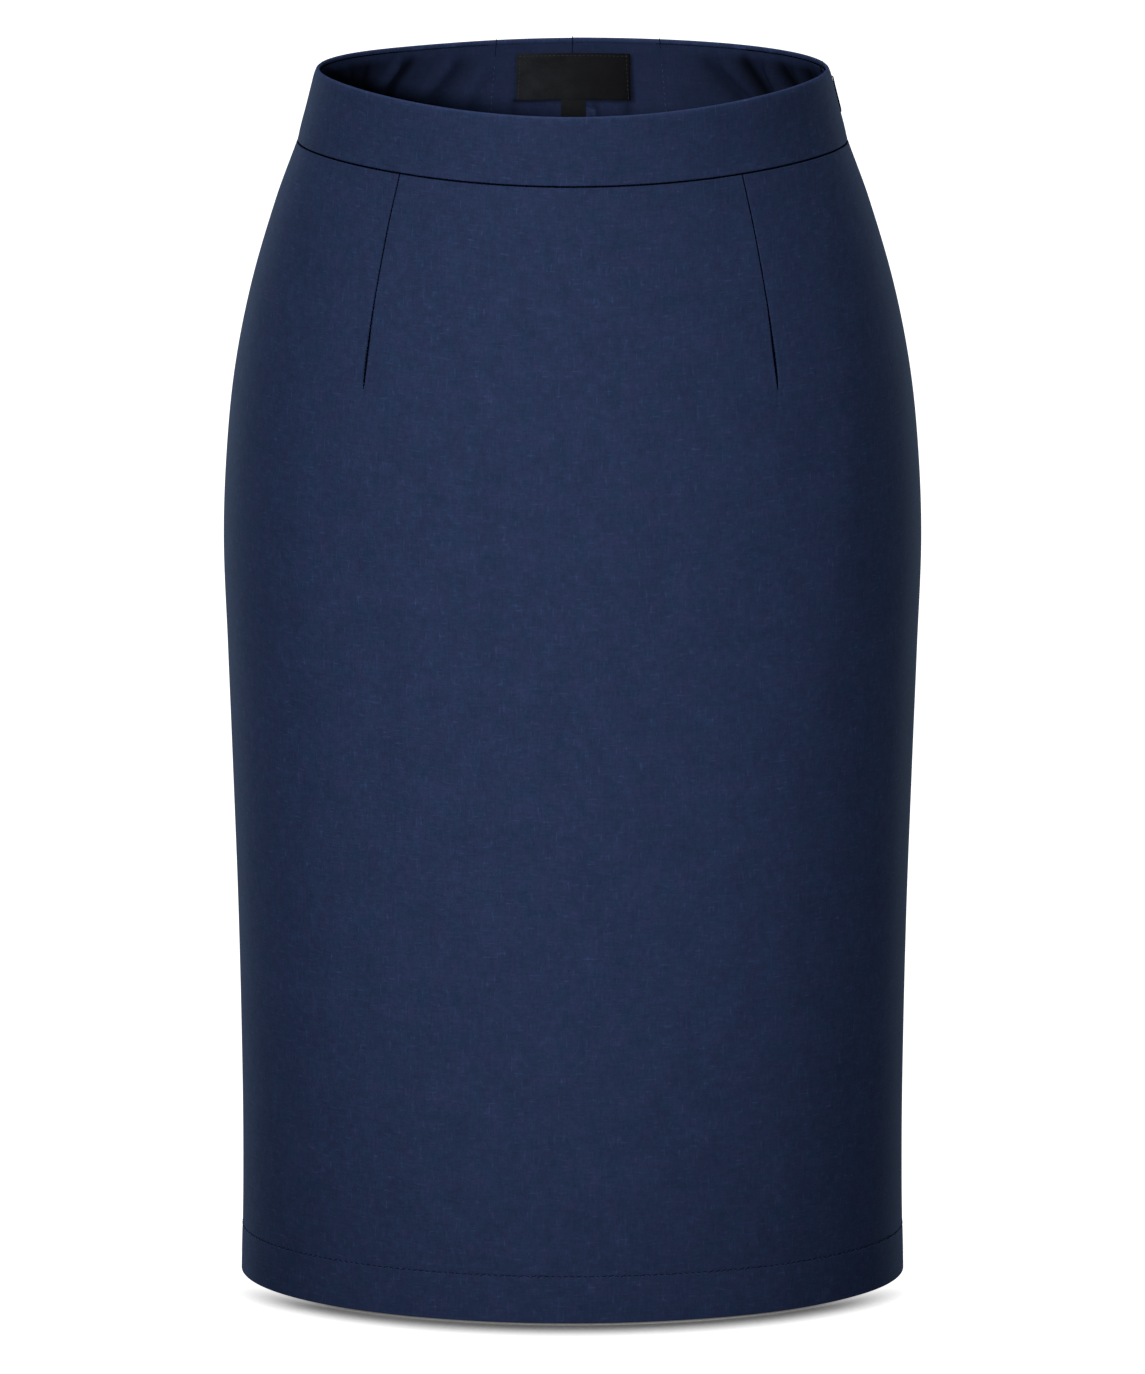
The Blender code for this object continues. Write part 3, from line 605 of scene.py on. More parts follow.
# the facing's colour is the suiting's, lowered to paint the shade that falls inside the band
FACING_SHADED_COLOUR = (0.0140, 0.0222, 0.0575)
suiting = melange("navy_suiting", SUITING_COLOUR, hemmed=True)
shaded_facing_cloth = melange("navy_facing", FACING_SHADED_COLOUR, contrast=0.7)

# %% [markdown]
# ## Thread, label, tape and enamel
#
# The thread is a shade darker than the cloth and has a faint twist, and the threads laid in
# the seams are darker still, to paint their shadow. The label is a black damask, woven so
# closely that it shines a little, with fine ribs from edge to edge, and a painted sheen fades
# from one end of it to the other. The zip's tape is a herringbone of hard yarn, and its
# slider and pull are painted to match.

# %% Thread
def plain_thread(name, colour, gloss=0.20):
    """Make a sewing thread."""
    material, tree, shader = new_material(name)
    place = put(tree, "ShaderNodeTexCoord").outputs["Object"]
    twist = put(tree, "ShaderNodeTexNoise", {"Vector": place, "Scale": 2600.0, "Detail": 1.0})
    shade = put(tree, "ShaderNodeVectorMath", {0: colour}, operation="SCALE")
    tree.links.new(centred(tree, twist.outputs["Fac"], 0.8), shade.inputs["Scale"])
    tree.links.new(shade.outputs[0], shader.inputs["Base Color"])
    shader.inputs["Roughness"].default_value = 0.65
    shader.inputs["Specular IOR Level"].default_value = gloss
    return material


dark_thread = plain_thread("navy_thread", (0.0060, 0.0095, 0.0270))
label_thread = plain_thread("label_thread", (0.0300, 0.0310, 0.0340))
print("threads:", dark_thread.name, "and", label_thread.name)

# %% The label's damask
LABEL_RIB, LABEL_COLOUR = 0.00055, (0.0083, 0.0089, 0.0105)


def damask(name):
    """Make the label's black damask, with ribs, random lighter patches and a painted sheen."""
    material, tree, shader = new_material(name)
    place = put(tree, "ShaderNodeUVMap", uv_map="cloth").outputs[0]
    parts = put(tree, "ShaderNodeSeparateXYZ", {0: place})
    rib = calc(tree, "SINE", calc(tree, "MULTIPLY", parts.outputs[1],
                                  2.0 * math.pi / LABEL_RIB))
    yarn = stretched_noise(tree, place, 700.0, 3200.0)
    cloud = stretched_noise(tree, place, 60.0, 90.0, detail=3.0)
    side = put(tree, "ShaderNodeSeparateXYZ", {0: put(tree, "ShaderNodeTexCoord").outputs[3]})
    # a painted sheen: the label is lighter at one end and darker at the other
    painted_sheen = put(tree, "ShaderNodeMapRange", {"Value": side.outputs[0], "From Min": -0.026,
                                             "From Max": 0.030, "To Min": 1.75, "To Max": 0.30})
    light = product(tree, centred(tree, yarn, 0.7), centred(tree, cloud, 1.4),
                    painted_sheen.outputs[0])
    shade = put(tree, "ShaderNodeVectorMath", {0: LABEL_COLOUR}, operation="SCALE")
    tree.links.new(calc(tree, "MULTIPLY_ADD", rib, 0.16, light), shade.inputs["Scale"])
    tree.links.new(shade.outputs[0], shader.inputs["Base Color"])
    bump = put(tree, "ShaderNodeBump", {"Height": rib, "Strength": 0.5, "Distance": 0.00006})
    tree.links.new(bump.outputs[0], shader.inputs["Normal"])
    gloss = put(tree, "ShaderNodeMapRange", {"Value": cloud, "To Min": 0.45, "To Max": 0.62})
    tree.links.new(gloss.outputs[0], shader.inputs["Roughness"])
    shader.inputs["Specular IOR Level"].default_value = 0.04
    return material


label_cloth = damask("black_label")
print(label_cloth.name, "with a rib each", round(LABEL_RIB / MM, 2), "mm")

# %% The zip's tape
TAPE_RIB, TAPE_TURN = 0.0007, 0.0018


def herringbone(name, colour):
    """Make the zip's tape, in slanting ribs that turn back every few millimetres."""
    material, tree, shader = new_material(name)
    place = put(tree, "ShaderNodeUVMap", uv_map="cloth").outputs[0]
    parts = put(tree, "ShaderNodeSeparateXYZ", {0: place})
    zigzag = calc(tree, "PINGPONG", parts.outputs[0], TAPE_TURN)
    slant = calc(tree, "ADD", parts.outputs[1], zigzag)
    rib = calc(tree, "SINE", calc(tree, "MULTIPLY", slant, 2.0 * math.pi / TAPE_RIB))
    light = centred(tree, stretched_noise(tree, place, 1800.0, 900.0), 0.7)
    shade = put(tree, "ShaderNodeVectorMath", {0: colour}, operation="SCALE")
    tree.links.new(calc(tree, "MULTIPLY_ADD", rib, 0.22, light), shade.inputs["Scale"])
    tree.links.new(shade.outputs[0], shader.inputs["Base Color"])
    bump = put(tree, "ShaderNodeBump", {"Height": rib, "Strength": 0.6, "Distance": 0.0001})
    tree.links.new(bump.outputs[0], shader.inputs["Normal"])
    shader.inputs["Roughness"].default_value = 0.62
    return material


tape_cloth = herringbone("zip_tape", (0.0120, 0.0180, 0.0480))
print(tape_cloth.name, "with ribs that turn back each", round(TAPE_TURN / MM, 1), "mm")

# %% The enamel
RUBBED = 2.4


def enamel(name, colour):
    """Make a thin enamel over metal, a little rubbed at random."""
    material, tree, shader = new_material(name)
    place = put(tree, "ShaderNodeTexCoord").outputs["Object"]
    wear = put(tree, "ShaderNodeTexNoise", {"Vector": place, "Scale": 900.0, "Detail": 3.0})
    rubbed = put(tree, "ShaderNodeMapRange", {"Value": wear.outputs["Fac"], "From Min": 0.62,
                                              "From Max": 0.74})
    paint = put(tree, "ShaderNodeMix", {0: rubbed.outputs[0], 6: (*colour, 1.0),
                                        7: (*(part * RUBBED for part in colour), 1.0)},
                data_type="RGBA")
    tree.links.new(paint.outputs[2], shader.inputs["Base Color"])
    gloss = put(tree, "ShaderNodeMapRange", {"Value": wear.outputs["Fac"], "To Min": 0.22,
                                             "To Max": 0.46})
    tree.links.new(gloss.outputs[0], shader.inputs["Roughness"])
    shader.inputs["Metallic"].default_value = 0.55
    shader.inputs["Coat Weight"].default_value = 0.3
    return material


zip_paint = enamel("zip_enamel", (0.0180, 0.0280, 0.0700))
print("finishes:", sorted(material.name for material in bpy.data.materials))

# %% [markdown]
# ## What a panel's surface shows
#
# A dart is a stitched fold, pressed towards the middle. Outside it shows as a fine dark
# line between two round lips, with the cloth a little raised over the fold on one side, and
# it runs out softly before its point. The waist seam draws tiny puckers. The hem's stitches
# leave a shallow line all round, and the doubled cloth below it stands a little fuller. The
# dark lines of the darts and the seams are deepened further down by painted shadow: a dark
# thread laid in each crease.

# %% Darts
DART_LIP = 0.00050
DART_GAP = 0.00060
DART_DEPTH = 0.0019
DART_RAISE = 0.00034
DART_INTAKE, DART_LEAST_INTAKE = 0.011, 0.0006
DART_RUN_OUT = 0.10
# how wide a dart's gap is as a share of DART_GAP, how much wider it gets, and where and over
# what share of its length
GAP_SHARE, GAP_WIDER, GAP_WIDEST_AT, GAP_WIDER_OVER = 0.80, 0.75, 0.84, 0.17
# the dimple at a dart's point: how deep, and how far it reaches across and down
POINT_DEPTH, POINT_ACROSS, POINT_DOWN = 0.00016, 0.0012, 0.002


def dart_gap(down):
    """Tell how far each lip of a dart stands off: it opens a little before its point."""
    open_up = GAP_SHARE + GAP_WIDER * np.exp(-((down - GAP_WIDEST_AT) / GAP_WIDER_OVER) ** 2)
    return DART_GAP * open_up * (1.0 - 0.7 * smooth_step(down, 0.93, 1.0))


def dart_inset(angle, height):
    """Tell how far the darts draw the cloth in, or raise it over their folds."""
    inset = np.zeros(np.broadcast(angle, height).shape)
    for middle, length in DARTS:
        down = (seam_height(middle) - height) / length
        across = ((angle - middle + 180.0) % 360.0 - 180.0) * metres_per_degree(middle, height)
        fade = smooth_step(1.0 - down, 0.0, DART_RUN_OUT) * (down > -0.04)
        gap = dart_gap(down)
        lip = np.clip((DART_LIP + gap - np.abs(across)) / DART_LIP, 0.0, 1.0)
        crease = DART_LIP * (1.0 - np.sqrt(1.0 - lip ** 2))
        crease += (DART_DEPTH - DART_LIP) * smooth_step(gap - np.abs(across), -1e-5, 2.5e-5)
        inward = across * (-1.0 if middle > 0 else 1.0) * (1.0 if abs(middle) < 90 else -1.0)
        intake = DART_INTAKE * np.clip(1.0 - down, 0.0, 1.0) + DART_LEAST_INTAKE
        over = smooth_step(inward, 0.0, 0.0008) * (1.0 - smooth_step(inward, 0.6 * intake,
                                                                   1.5 * intake))
        dimple = POINT_DEPTH * np.exp(-(across / POINT_ACROSS) ** 2
                                      - ((down - 1.0) * length / POINT_DOWN) ** 2)
        inset += fade * (crease - DART_RAISE * over) + dimple
    return inset


print("a dart's crease is",
      round(float(dart_inset(DARTS[0][0], WAIST_SEAM - 0.05)) / MM, 1), "mm deep")

# %% Puckers, the hem's line and the vent's edge
# the length of each wave of the puckers and its start, then how deep and how far they reach
PUCKERS = ((0.0150, 0.4), (0.0213, 2.1), (0.0337, 4.4))
PUCKER_DEPTH, PUCKER_REACH = 0.00006, 0.0055
# at the hem's stitches: how deep the line, the pull and the fullness are, and how wide
LINE_DEPTH, LINE_REACH = 0.00012, 0.0006
PULL_DEPTH, PULL_REACH = 0.00005, 0.0035
FULL_RISE, FULL_REACH = 0.00018, 0.004
VENT_TOP, VENT_STANDS_OFF = HEM + 0.165, 0.0013
# how far below its top the vent is wholly open and still shut, and how far round it lifts
VENT_OPEN, VENT_SHUT, VENT_LIFTS_OVER = 0.060, 0.006, 0.014


def ripple(along, phase=0.0):
    """Give an uneven ripple along a seam, from -1 to 1."""
    waves = [np.sin(2.0 * np.pi * along / length + turn + phase) for length, turn in PUCKERS]
    return sum(waves) / len(waves)


def seam_inset(angle, height):
    """Tell how far the waist seam draws the cloth in."""
    to_seam = np.abs(height - seam_height(angle))
    near = np.exp(-(to_seam / PUCKER_REACH) ** 2)
    return PUCKER_DEPTH * near * (1.0 + ripple(angle * DEGREE_AT_HIP))


def hem_inset(angle, height):
    """Tell how the hem's stitched line and its doubled cloth shape the surface."""
    above = height - HEM - HEM_DEPTH
    line = LINE_DEPTH * np.exp(-(above / LINE_REACH) ** 2)
    pulled = PULL_DEPTH * np.exp(-(above / PULL_REACH) ** 2)
    fuller = FULL_RISE * smooth_step(-above, 0.0, FULL_REACH)
    return line + pulled * ripple(angle * DEGREE_AT_HIP, 1.3) - fuller


def vent_lift(angle, height):
    """Tell how far the vent's upper side stands off the lower one, towards its edge."""
    inward = np.clip(CENTRE_BACK - angle, 0.0, None) * DEGREE_AT_HIP
    opened = 1.0 - smooth_step(height, VENT_TOP - VENT_OPEN, VENT_TOP - VENT_SHUT)
    return VENT_STANDS_OFF * np.exp(-(inward / VENT_LIFTS_OVER) ** 2) * opened * (angle > 0.0)


def panel_sink(angle, height):
    """Tell how far a panel's cloth lies under the skin."""
    return (dart_inset(angle, height) + seam_inset(angle, height) + hem_inset(angle, height)
            - vent_lift(angle, height))


print("the vent's edge stands off by",
      round(-float(panel_sink(CENTRE_BACK, HEM + 0.05)) / MM, 1), "mm")

# %% Rows of a panel
CLOTH = 0.00045
HEM_RADIUS = 0.00060
ROW_STEP = 0.0037
PANEL_LENGTH = WAIST_SEAM - HEM
HEM_LINE_ROWS = MM * np.array([-3.0, -1.8, -1.0, -0.5, 0.0, 0.5, 1.0, 1.8, 3.0])
HEM_FOLD_ROWS = MM * np.array([20.0, 16.5, 13.0, 9.5, 6.5])
# how far the even rows keep from the seam and from the hem's fine rows, and how far above
# the hem's turn the seam allowances end
BELOW_SEAM, ABOVE_HEM_ROWS, HEM_CLEAR = 0.006, 0.005, 0.003


def panel_rows():
    """Give a panel's rows, from the seam over the outside and up the inside of the hem."""
    top = edge_rows(0.0, -1, PANEL_LENGTH, gap=WAIST_GAP, radius=WAIST_RADIUS,
                    turn=0.8 * np.pi)
    start = BELOW_SEAM / PANEL_LENGTH
    stop = 1.0 - (HEM_DEPTH + ABOVE_HEM_ROWS) / PANEL_LENGTH
    count = int((stop - start) * PANEL_LENGTH / ROW_STEP)
    middle = plain_rows(np.linspace(start, stop, count), PANEL_LENGTH)
    up = np.concatenate([HEM_DEPTH - HEM_LINE_ROWS, HEM_FOLD_ROWS])
    low = fields(1.0, up, 0.0, 0.0, PANEL_LENGTH - up)
    hem = edge_rows(1.0, 1, PANEL_LENGTH, HEM_DEPTH - HEM_RADIUS, gap=0.0, radius=HEM_RADIUS)
    return np.concatenate([top, middle, low, hem])


def seam_exists(columns, rows, height):
    """Leave seam allowances out where the hem is turned up, so the layers don't pile up."""
    inside = np.abs(columns[:, HIDDEN]) > 0.0
    turning = (rows[:, TURN, None] > 0.0) & (rows[:, SHARE, None] > 0.5)
    return ~(inside & ((height < HEM + HEM_DEPTH + HEM_CLEAR) | turning))


print(len(panel_rows()), "rows down a panel")

# %% [markdown]
# ## The front panel
#
# The front is cut in one piece on the fold, with two darts. Its grid runs from the edge of
# one side's seam allowance, over the turned edge, across the front and into the other
# side's allowance. Where the solid is a thick wall, this is cloth half a millimetre thick.
# It could be draped by simulation, but a fitted skirt is held in shape by its cut, so the
# measured surface with listed folds is truer and stays the same each run.
#
# The zip lies in the left side seam. Its two edges meet over the closed coil, part a little
# round the slider, and lie a hair apart above it.

# %% Front panel
ZIP_LENGTH, ZIP_BELOW_TOP, SLIDER_BELOW_TOP = 0.200, 0.003, 0.0105
SLIDER_HEIGHT = BAND_TOP - SLIDER_BELOW_TOP
ZIP_FOOT = BAND_TOP - ZIP_BELOW_TOP - ZIP_LENGTH
ZIP_PARTS_BY, ZIP_PARTS_OVER = 0.00045, 0.0042
SAME_ANGLE = 0.01


def zip_opening(height):
    """Tell how far each edge of the zipped seam stands off."""
    return ZIP_PARTS_BY * np.exp(-((height - SLIDER_HEIGHT) / ZIP_PARTS_OVER) ** 4)


def hung_from(columns, angle):
    """Tell which columns hang from this angle."""
    return np.abs(columns[:, ANCHOR] - angle) < SAME_ANGLE


def zip_move(columns, level):
    """Move the columns of the zipped edge away from the seam."""
    way = np.sign(columns[:, OFFSET]) * hung_from(columns, SIDE_SEAM)
    return way * zip_opening(level)


columns = np.concatenate([edge_columns(-SIDE_SEAM, 1), fill_columns(-SIDE_SEAM, SIDE_SEAM),
                          edge_columns(SIDE_SEAM, -1)])
add_sheet("front_panel", columns, panel_rows(), seam_height, hem_height, panel_sink, suiting,
          CLOTH, exists=seam_exists,
          move=zip_move)

# %% [markdown]
# ## The back panels and the vent
#
# A pencil skirt needs a slit to walk in. At the centre back the two panels are sewn down to
# the vent. Below it the left panel's edge is folded in with a deep facing, and the right
# panel runs on under it as the underlap. Above the vent the same cloth narrows to an
# ordinary seam allowance, so one rule for the hidden width serves the whole edge.
#
# The right panel's seam is pressed to one side: its cloth drops over a round edge, and
# carries on a little deeper, below the left panel.

# %% The vent
VENT_WIDTH = 0.038
VENT_SHOULDER = 0.020
UNDERLAP_DEPTH = 0.0021


def vent_move(columns, level):
    """Widen what is hidden at the centre back into the vent's facing and underlap."""
    middle = hung_from(columns, CENTRE_BACK) | hung_from(columns, -CENTRE_BACK)
    share = 1.0 - smooth_step(level, VENT_TOP - VENT_SHOULDER, VENT_TOP)
    wider = columns[:, HIDDEN] * (VENT_WIDTH - ALLOWANCE) / ALLOWANCE * share
    return np.where(middle, wider, 0.0) + zip_move(columns, level)


def under_columns(angle, way):
    """Give columns where the cloth drops over an edge and runs on below its neighbour."""
    depth, radius = UNDERLAP_DEPTH, EDGE_RADIUS
    hidden = np.linspace(ALLOWANCE, 0.0, 8, endpoint=False)
    low, high = np.linspace(0.5 * np.pi, 0.0, 5), np.linspace(0.5 * np.pi, 0.0, 6)
    near = np.asarray(NEAR_EDGE)
    away = np.concatenate([-radius - hidden, radius * np.cos(low) - radius,
                           radius - radius * np.sin(high), radius + near])
    sink = np.concatenate([hidden * 0.0 + depth, depth - radius + radius * np.sin(low),
                           radius - radius * np.cos(high), near * 0.0])
    inside = np.concatenate([hidden, low * 0.0, high * 0.0, near * 0.0])
    return columns_of(angle, way * (away + HALF_SEAM_GAP), 0.0, sink, -way * inside)


def left_exists(columns, rows, height):
    """Let the vent's facing run down to the hem, in place of the turned-up hem there."""
    shown = seam_exists(columns, rows, height)
    facing = hung_from(columns, CENTRE_BACK) & (np.abs(columns[:, HIDDEN]) > 0.0)
    half_turned = rows[:, TURN, None] <= 0.5 * np.pi + 0.01
    shown |= facing & half_turned
    reach = VENT_WIDTH / metres_per_degree(CENTRE_BACK, HEM)
    covered = (columns[:, ANCHOR] > CENTRE_BACK - reach) & (rows[:, SHARE, None] > 0.5)
    return shown & ~(covered & ~half_turned)


def right_exists(columns, rows, height):
    """Let the underlap have its own hem."""
    return seam_exists(columns, rows, height) | hung_from(columns, -CENTRE_BACK)


print("the vent is", round((VENT_TOP - HEM) / MM), "mm long and laps over by",
      round(VENT_WIDTH / MM), "mm")

# %% Back panels
columns = np.concatenate([edge_columns(SIDE_SEAM, 1), fill_columns(SIDE_SEAM, CENTRE_BACK),
                          edge_columns(CENTRE_BACK, -1)])
add_sheet("back_panel_left", columns, panel_rows(), seam_height, hem_height, panel_sink,
          suiting, CLOTH,
          exists=left_exists, move=vent_move)
columns = np.concatenate([under_columns(-CENTRE_BACK, 1),
                          fill_columns(-CENTRE_BACK, -SIDE_SEAM),
                          edge_columns(-SIDE_SEAM, -1)])
add_sheet("back_panel_right", columns, panel_rows(), seam_height, hem_height, panel_sink,
          suiting, CLOTH,
          exists=right_exists, move=vent_move)

# %% [markdown]
# ## The waistband
#
# The band is a separate strip with its own shape, smooth because there is stiffening behind
# it. At the foot it is turned in at the waist seam. At the top its cloth rolls over the
# edge and goes a few millimetres down inside, where the facing is sewn to it. So the edge
# shows a thin round rim, and the seam with the facing lies just inside.

# %% Waistband
BAND_LENGTH = BAND_TOP - WAIST_SEAM
RIM_RADIUS = 0.00095
RIM_INSIDE, RIM_UNDER, RIM_LEAN = 0.0011, 0.00035, 0.24
# how strong the highlight painted along the rim is, and how far down from the top it fades
RIM_PAINTED_HIGHLIGHT, RIM_HIGHLIGHT_OVER = 0.34, 0.0013
PRESSED_DEPTH, PRESSED_OVER = 0.00045, 0.0024
RIM_WAVE, RIM_WAVE_OVER = 0.00005, 0.006


def band_sink(angle, height):
    """Tell how far the band's cloth lies under the skin."""
    below_top = top_height(angle) - height
    pressed = PRESSED_DEPTH * np.exp(-(below_top / PRESSED_OVER) ** 2)
    wave = RIM_WAVE * ripple(angle * DEGREE_AT_HIP, 0.7)
    return (seam_inset(angle, height) + pressed
            + wave * np.exp(-(below_top / RIM_WAVE_OVER) ** 2))


def band_rows():
    """Give the band's rows, from inside its top, over the rim and down to the seam."""
    over = edge_rows(0.0, -1, BAND_LENGTH, RIM_INSIDE, gap=0.0, radius=RIM_RADIUS)
    turned_round = over[:, TURN] > 3.1
    over[:, DEPTH] += RIM_LEAN * np.clip(-over[:, SHIFT] - RIM_RADIUS, 0.0, None) * turned_round
    back = np.linspace(np.pi, 0.3, 5)
    down = RIM_RADIUS + RIM_INSIDE + RIM_UNDER * np.sin(back)
    depth = over[0, DEPTH] - RIM_UNDER + RIM_UNDER * np.cos(back)
    along = over[0, ALONG] - RIM_UNDER * (back - 0.3)
    top = np.concatenate([fields(0.0, -down, depth, np.pi, along), over])
    middle = plain_rows(np.linspace(0.14, 0.86, 12), BAND_LENGTH)
    foot = edge_rows(1.0, 1, BAND_LENGTH, gap=WAIST_GAP, radius=WAIST_RADIUS, turn=0.8 * np.pi)
    return np.concatenate([top, middle, foot])


def band_columns(start, stop):
    """Give a band piece's columns, turned in at both seams."""
    return np.concatenate([edge_columns(start, 1, 0.004), fill_columns(start, stop, 0.0045, ()),
                           edge_columns(stop, -1, 0.004)])


for node, start, stop in (("waistband_front", -SIDE_SEAM, SIDE_SEAM),
                          ("waistband_back_left", SIDE_SEAM, CENTRE_BACK),
                          ("waistband_back_right", -CENTRE_BACK, -SIDE_SEAM)):
    piece, angle, height = add_sheet(
        node, band_columns(start, stop), band_rows(), top_height, seam_height, band_sink,
        suiting, CLOTH,
        move=zip_move)
    # a painted highlight along the rim, where the light from above would catch it
    below = top_height(angle) - height
    set_painted_shade_and_highlight(piece, -RIM_PAINTED_HIGHLIGHT * np.exp(-(below / RIM_HIGHLIGHT_OVER) ** 2))

# %% [markdown]
# ## The facing
#
# Inside the band a second strip hides the raw seams. It is a little longer than the space
# it fills, so it falls in slanting folds beside the label. It ends below the waist seam in
# an overlocked edge, and it stops short of the zip, where it is folded back over the tape.
# Shade is painted on it in its folds, towards its sides and under the label.

# %% The facing's sizes and folds
FACING_INSET = 0.0025
FACING_CLOTH = 0.00040
FACING_DROP = RIM_RADIUS + RIM_INSIDE + 0.00055
FACING_BELOW_SEAM = 0.010
FACING_TO_ZIP = 0.0028
TAPE_WIDTH = 0.011
LABEL_WIDTH, LABEL_HEIGHT, LABEL_BELOW_TOP = 0.0608, 0.0246, 0.0079
LABEL_MIDDLE = 0.0004

# folds: where each starts and ends, as angle and distance below the top in millimetres, then
# half its width and its rise in millimetres, and how much shade is painted in it, from 0 to 1
FACING_FOLDS = (
    (-137.6, 7.2, -129.4, 28.0, 2.8, 3.2, 0.0), (-141.6, 6.6, -133.6, 31.0, 2.2, -1.5, 0.78),
    (-152.4, 9.0, -143.0, 34.0, 4.2, 2.2, 0.0), (-156.0, 10.0, -148.2, 34.0, 4.4, -0.8, 0.30),
    (-160.4, 15.0, -155.4, 35.0, 4.2, 1.3, 0.0), (-159.8, 31.0, -157.5, 38.0, 2.6, -0.5, 0.25),
    (-127.6, 8.0, -127.8, 30.0, 2.6, -1.2, 0.55), (-119.0, 9.0, -116.0, 34.0, 4.0, 2.4, 0.0),
    (150.0, 9.0, 140.4, 31.0, 4.0, -1.0, 0.36), (144.8, 8.8, 134.0, 30.0, 3.2, 2.3, 0.0),
    (138.6, 6.6, 131.2, 30.0, 3.8, -1.5, 0.84), (130.6, 9.0, 126.6, 27.0, 2.8, 2.8, 0.0),
    (126.2, 7.8, 119.8, 22.0, 3.3, -1.4, 0.80), (119.6, 8.0, 114.5, 20.0, 2.4, 2.2, 0.0),
    (113.6, 7.5, 110.0, 18.0, 3.0, -1.0, 0.70),
    (167.9, 32.0, 168.6, 46.0, 1.6, -0.9, 0.40), (170.5, 30.0, 171.0, 46.0, 2.4, 0.9, 0.0),
    (174.9, 33.0, 174.6, 46.0, 1.3, -0.5, 0.35), (-167.4, 32.0, -168.0, 46.0, 1.8, -0.6, 0.25),
    (-170.5, 31.0, -171.2, 46.0, 2.6, 0.6, 0.0), (155.0, 20.0, 151.0, 44.0, 4.5, 0.9, 0.0),
    (-60.0, 12.0, -52.0, 40.0, 5.0, 1.2, 0.0), (55.0, 12.0, 47.0, 40.0, 5.0, 1.2, 0.0),
    (-20.0, 14.0, -12.0, 42.0, 6.0, 0.9, 0.0), (18.0, 12.0, 10.0, 40.0, 6.0, 0.8, 0.0),
)
# where a fold fades in and out, in millimetres from its ends, and how much wider its
# painted shade is
FOLD_START, FOLD_STOP, SHADE_WIDER = (-4.0, 5.0), (-4.0, 6.0), 1.3
# how far below the top the painted shade begins and is full, and how far the painted shadow
# reaches from the label, in millimetres, then how dark that shadow is below the label and
# how dark on the wearer's right of it
SHADE_BEGINS, SHADE_FULL, LABEL_SHADE_REACH = 3.5, 8.5, 1.5
SHADOW_UNDER_LABEL, SHADOW_RIGHT_OF_LABEL = 0.80, 0.35
# how much the facing's top waves and how far down, in metres and millimetres, then how far
# its cloth is lifted by the tape behind it, and over what width that fades
TOP_WAVE, TOP_WAVE_OVER = 0.00012, 5.0
TAPE_LIFT, TAPE_LIFT_FADES = 0.0007, 0.006
# how much shade is painted on the facing towards the sides, where the two walls close up:
# angle, share
SIDE_SHADE = ((-180.0, 0.0), (-164.0, 0.0), (-150.0, 0.14), (-134.0, 0.40), (-125.0, 0.76),
              (-112.0, 0.78), (-80.0, 0.45), (0.0, 0.20), (80.0, 0.45), (112.0, 0.72),
              (120.0, 0.60), (131.0, 0.46), (146.0, 0.25), (158.0, 0.05), (180.0, 0.04))
print(len(FACING_FOLDS), "folds in the facing")

# %% How the facing's folds rise, and the shade painted on it
def facing_top(angle):
    """Give the height of the facing's top edge."""
    return top_height(angle) - FACING_DROP


def facing_foot(angle):
    """Give the height of the facing's lower edge."""
    return seam_height(angle) - FACING_BELOW_SEAM


def along_fold(angle, below, course):
    """Tell how much of one fold is felt at a place on the facing, from 0 to 1."""
    from_angle, from_down, to_angle, to_down, half_width = course
    middle = 0.5 * (from_angle + to_angle)
    scale = metres_per_degree(middle, 0.0) / MM
    apart = (angle - middle + 180.0) % 360.0 - 180.0
    run_x, run_y = (to_angle - from_angle) * scale, to_down - from_down
    length = math.hypot(run_x, run_y)
    x, y = (apart + middle - from_angle) * scale, below - from_down
    along, across = (x * run_x + y * run_y) / length, (x * run_y - y * run_x) / length
    fade_from, fade_to = (length + reach for reach in FOLD_STOP)
    ends = smooth_step(along, *FOLD_START) * (1.0 - smooth_step(along, fade_from, fade_to))
    return np.exp(-(across / half_width) ** 2) * ends


def facing_sink(angle, height):
    """Tell how deep the facing's shown side lies, with its folds."""
    below = (top_height(angle) - height) / MM
    rise = TOP_WAVE * ripple(angle * DEGREE_AT_HIP, 2.2) * np.exp(-(below / TOP_WAVE_OVER) ** 2)
    for *course, amount, _dark in FACING_FOLDS:
        rise = rise + amount * MM * along_fold(angle, below, course)
    to_zip = np.abs(angle - SIDE_SEAM) * metres_per_degree(SIDE_SEAM, 0.0)
    beyond_tape = smooth_step(to_zip, TAPE_WIDTH, TAPE_WIDTH + TAPE_LIFT_FADES)
    return FACING_INSET + rise + TAPE_LIFT * (1.0 - beyond_tape)


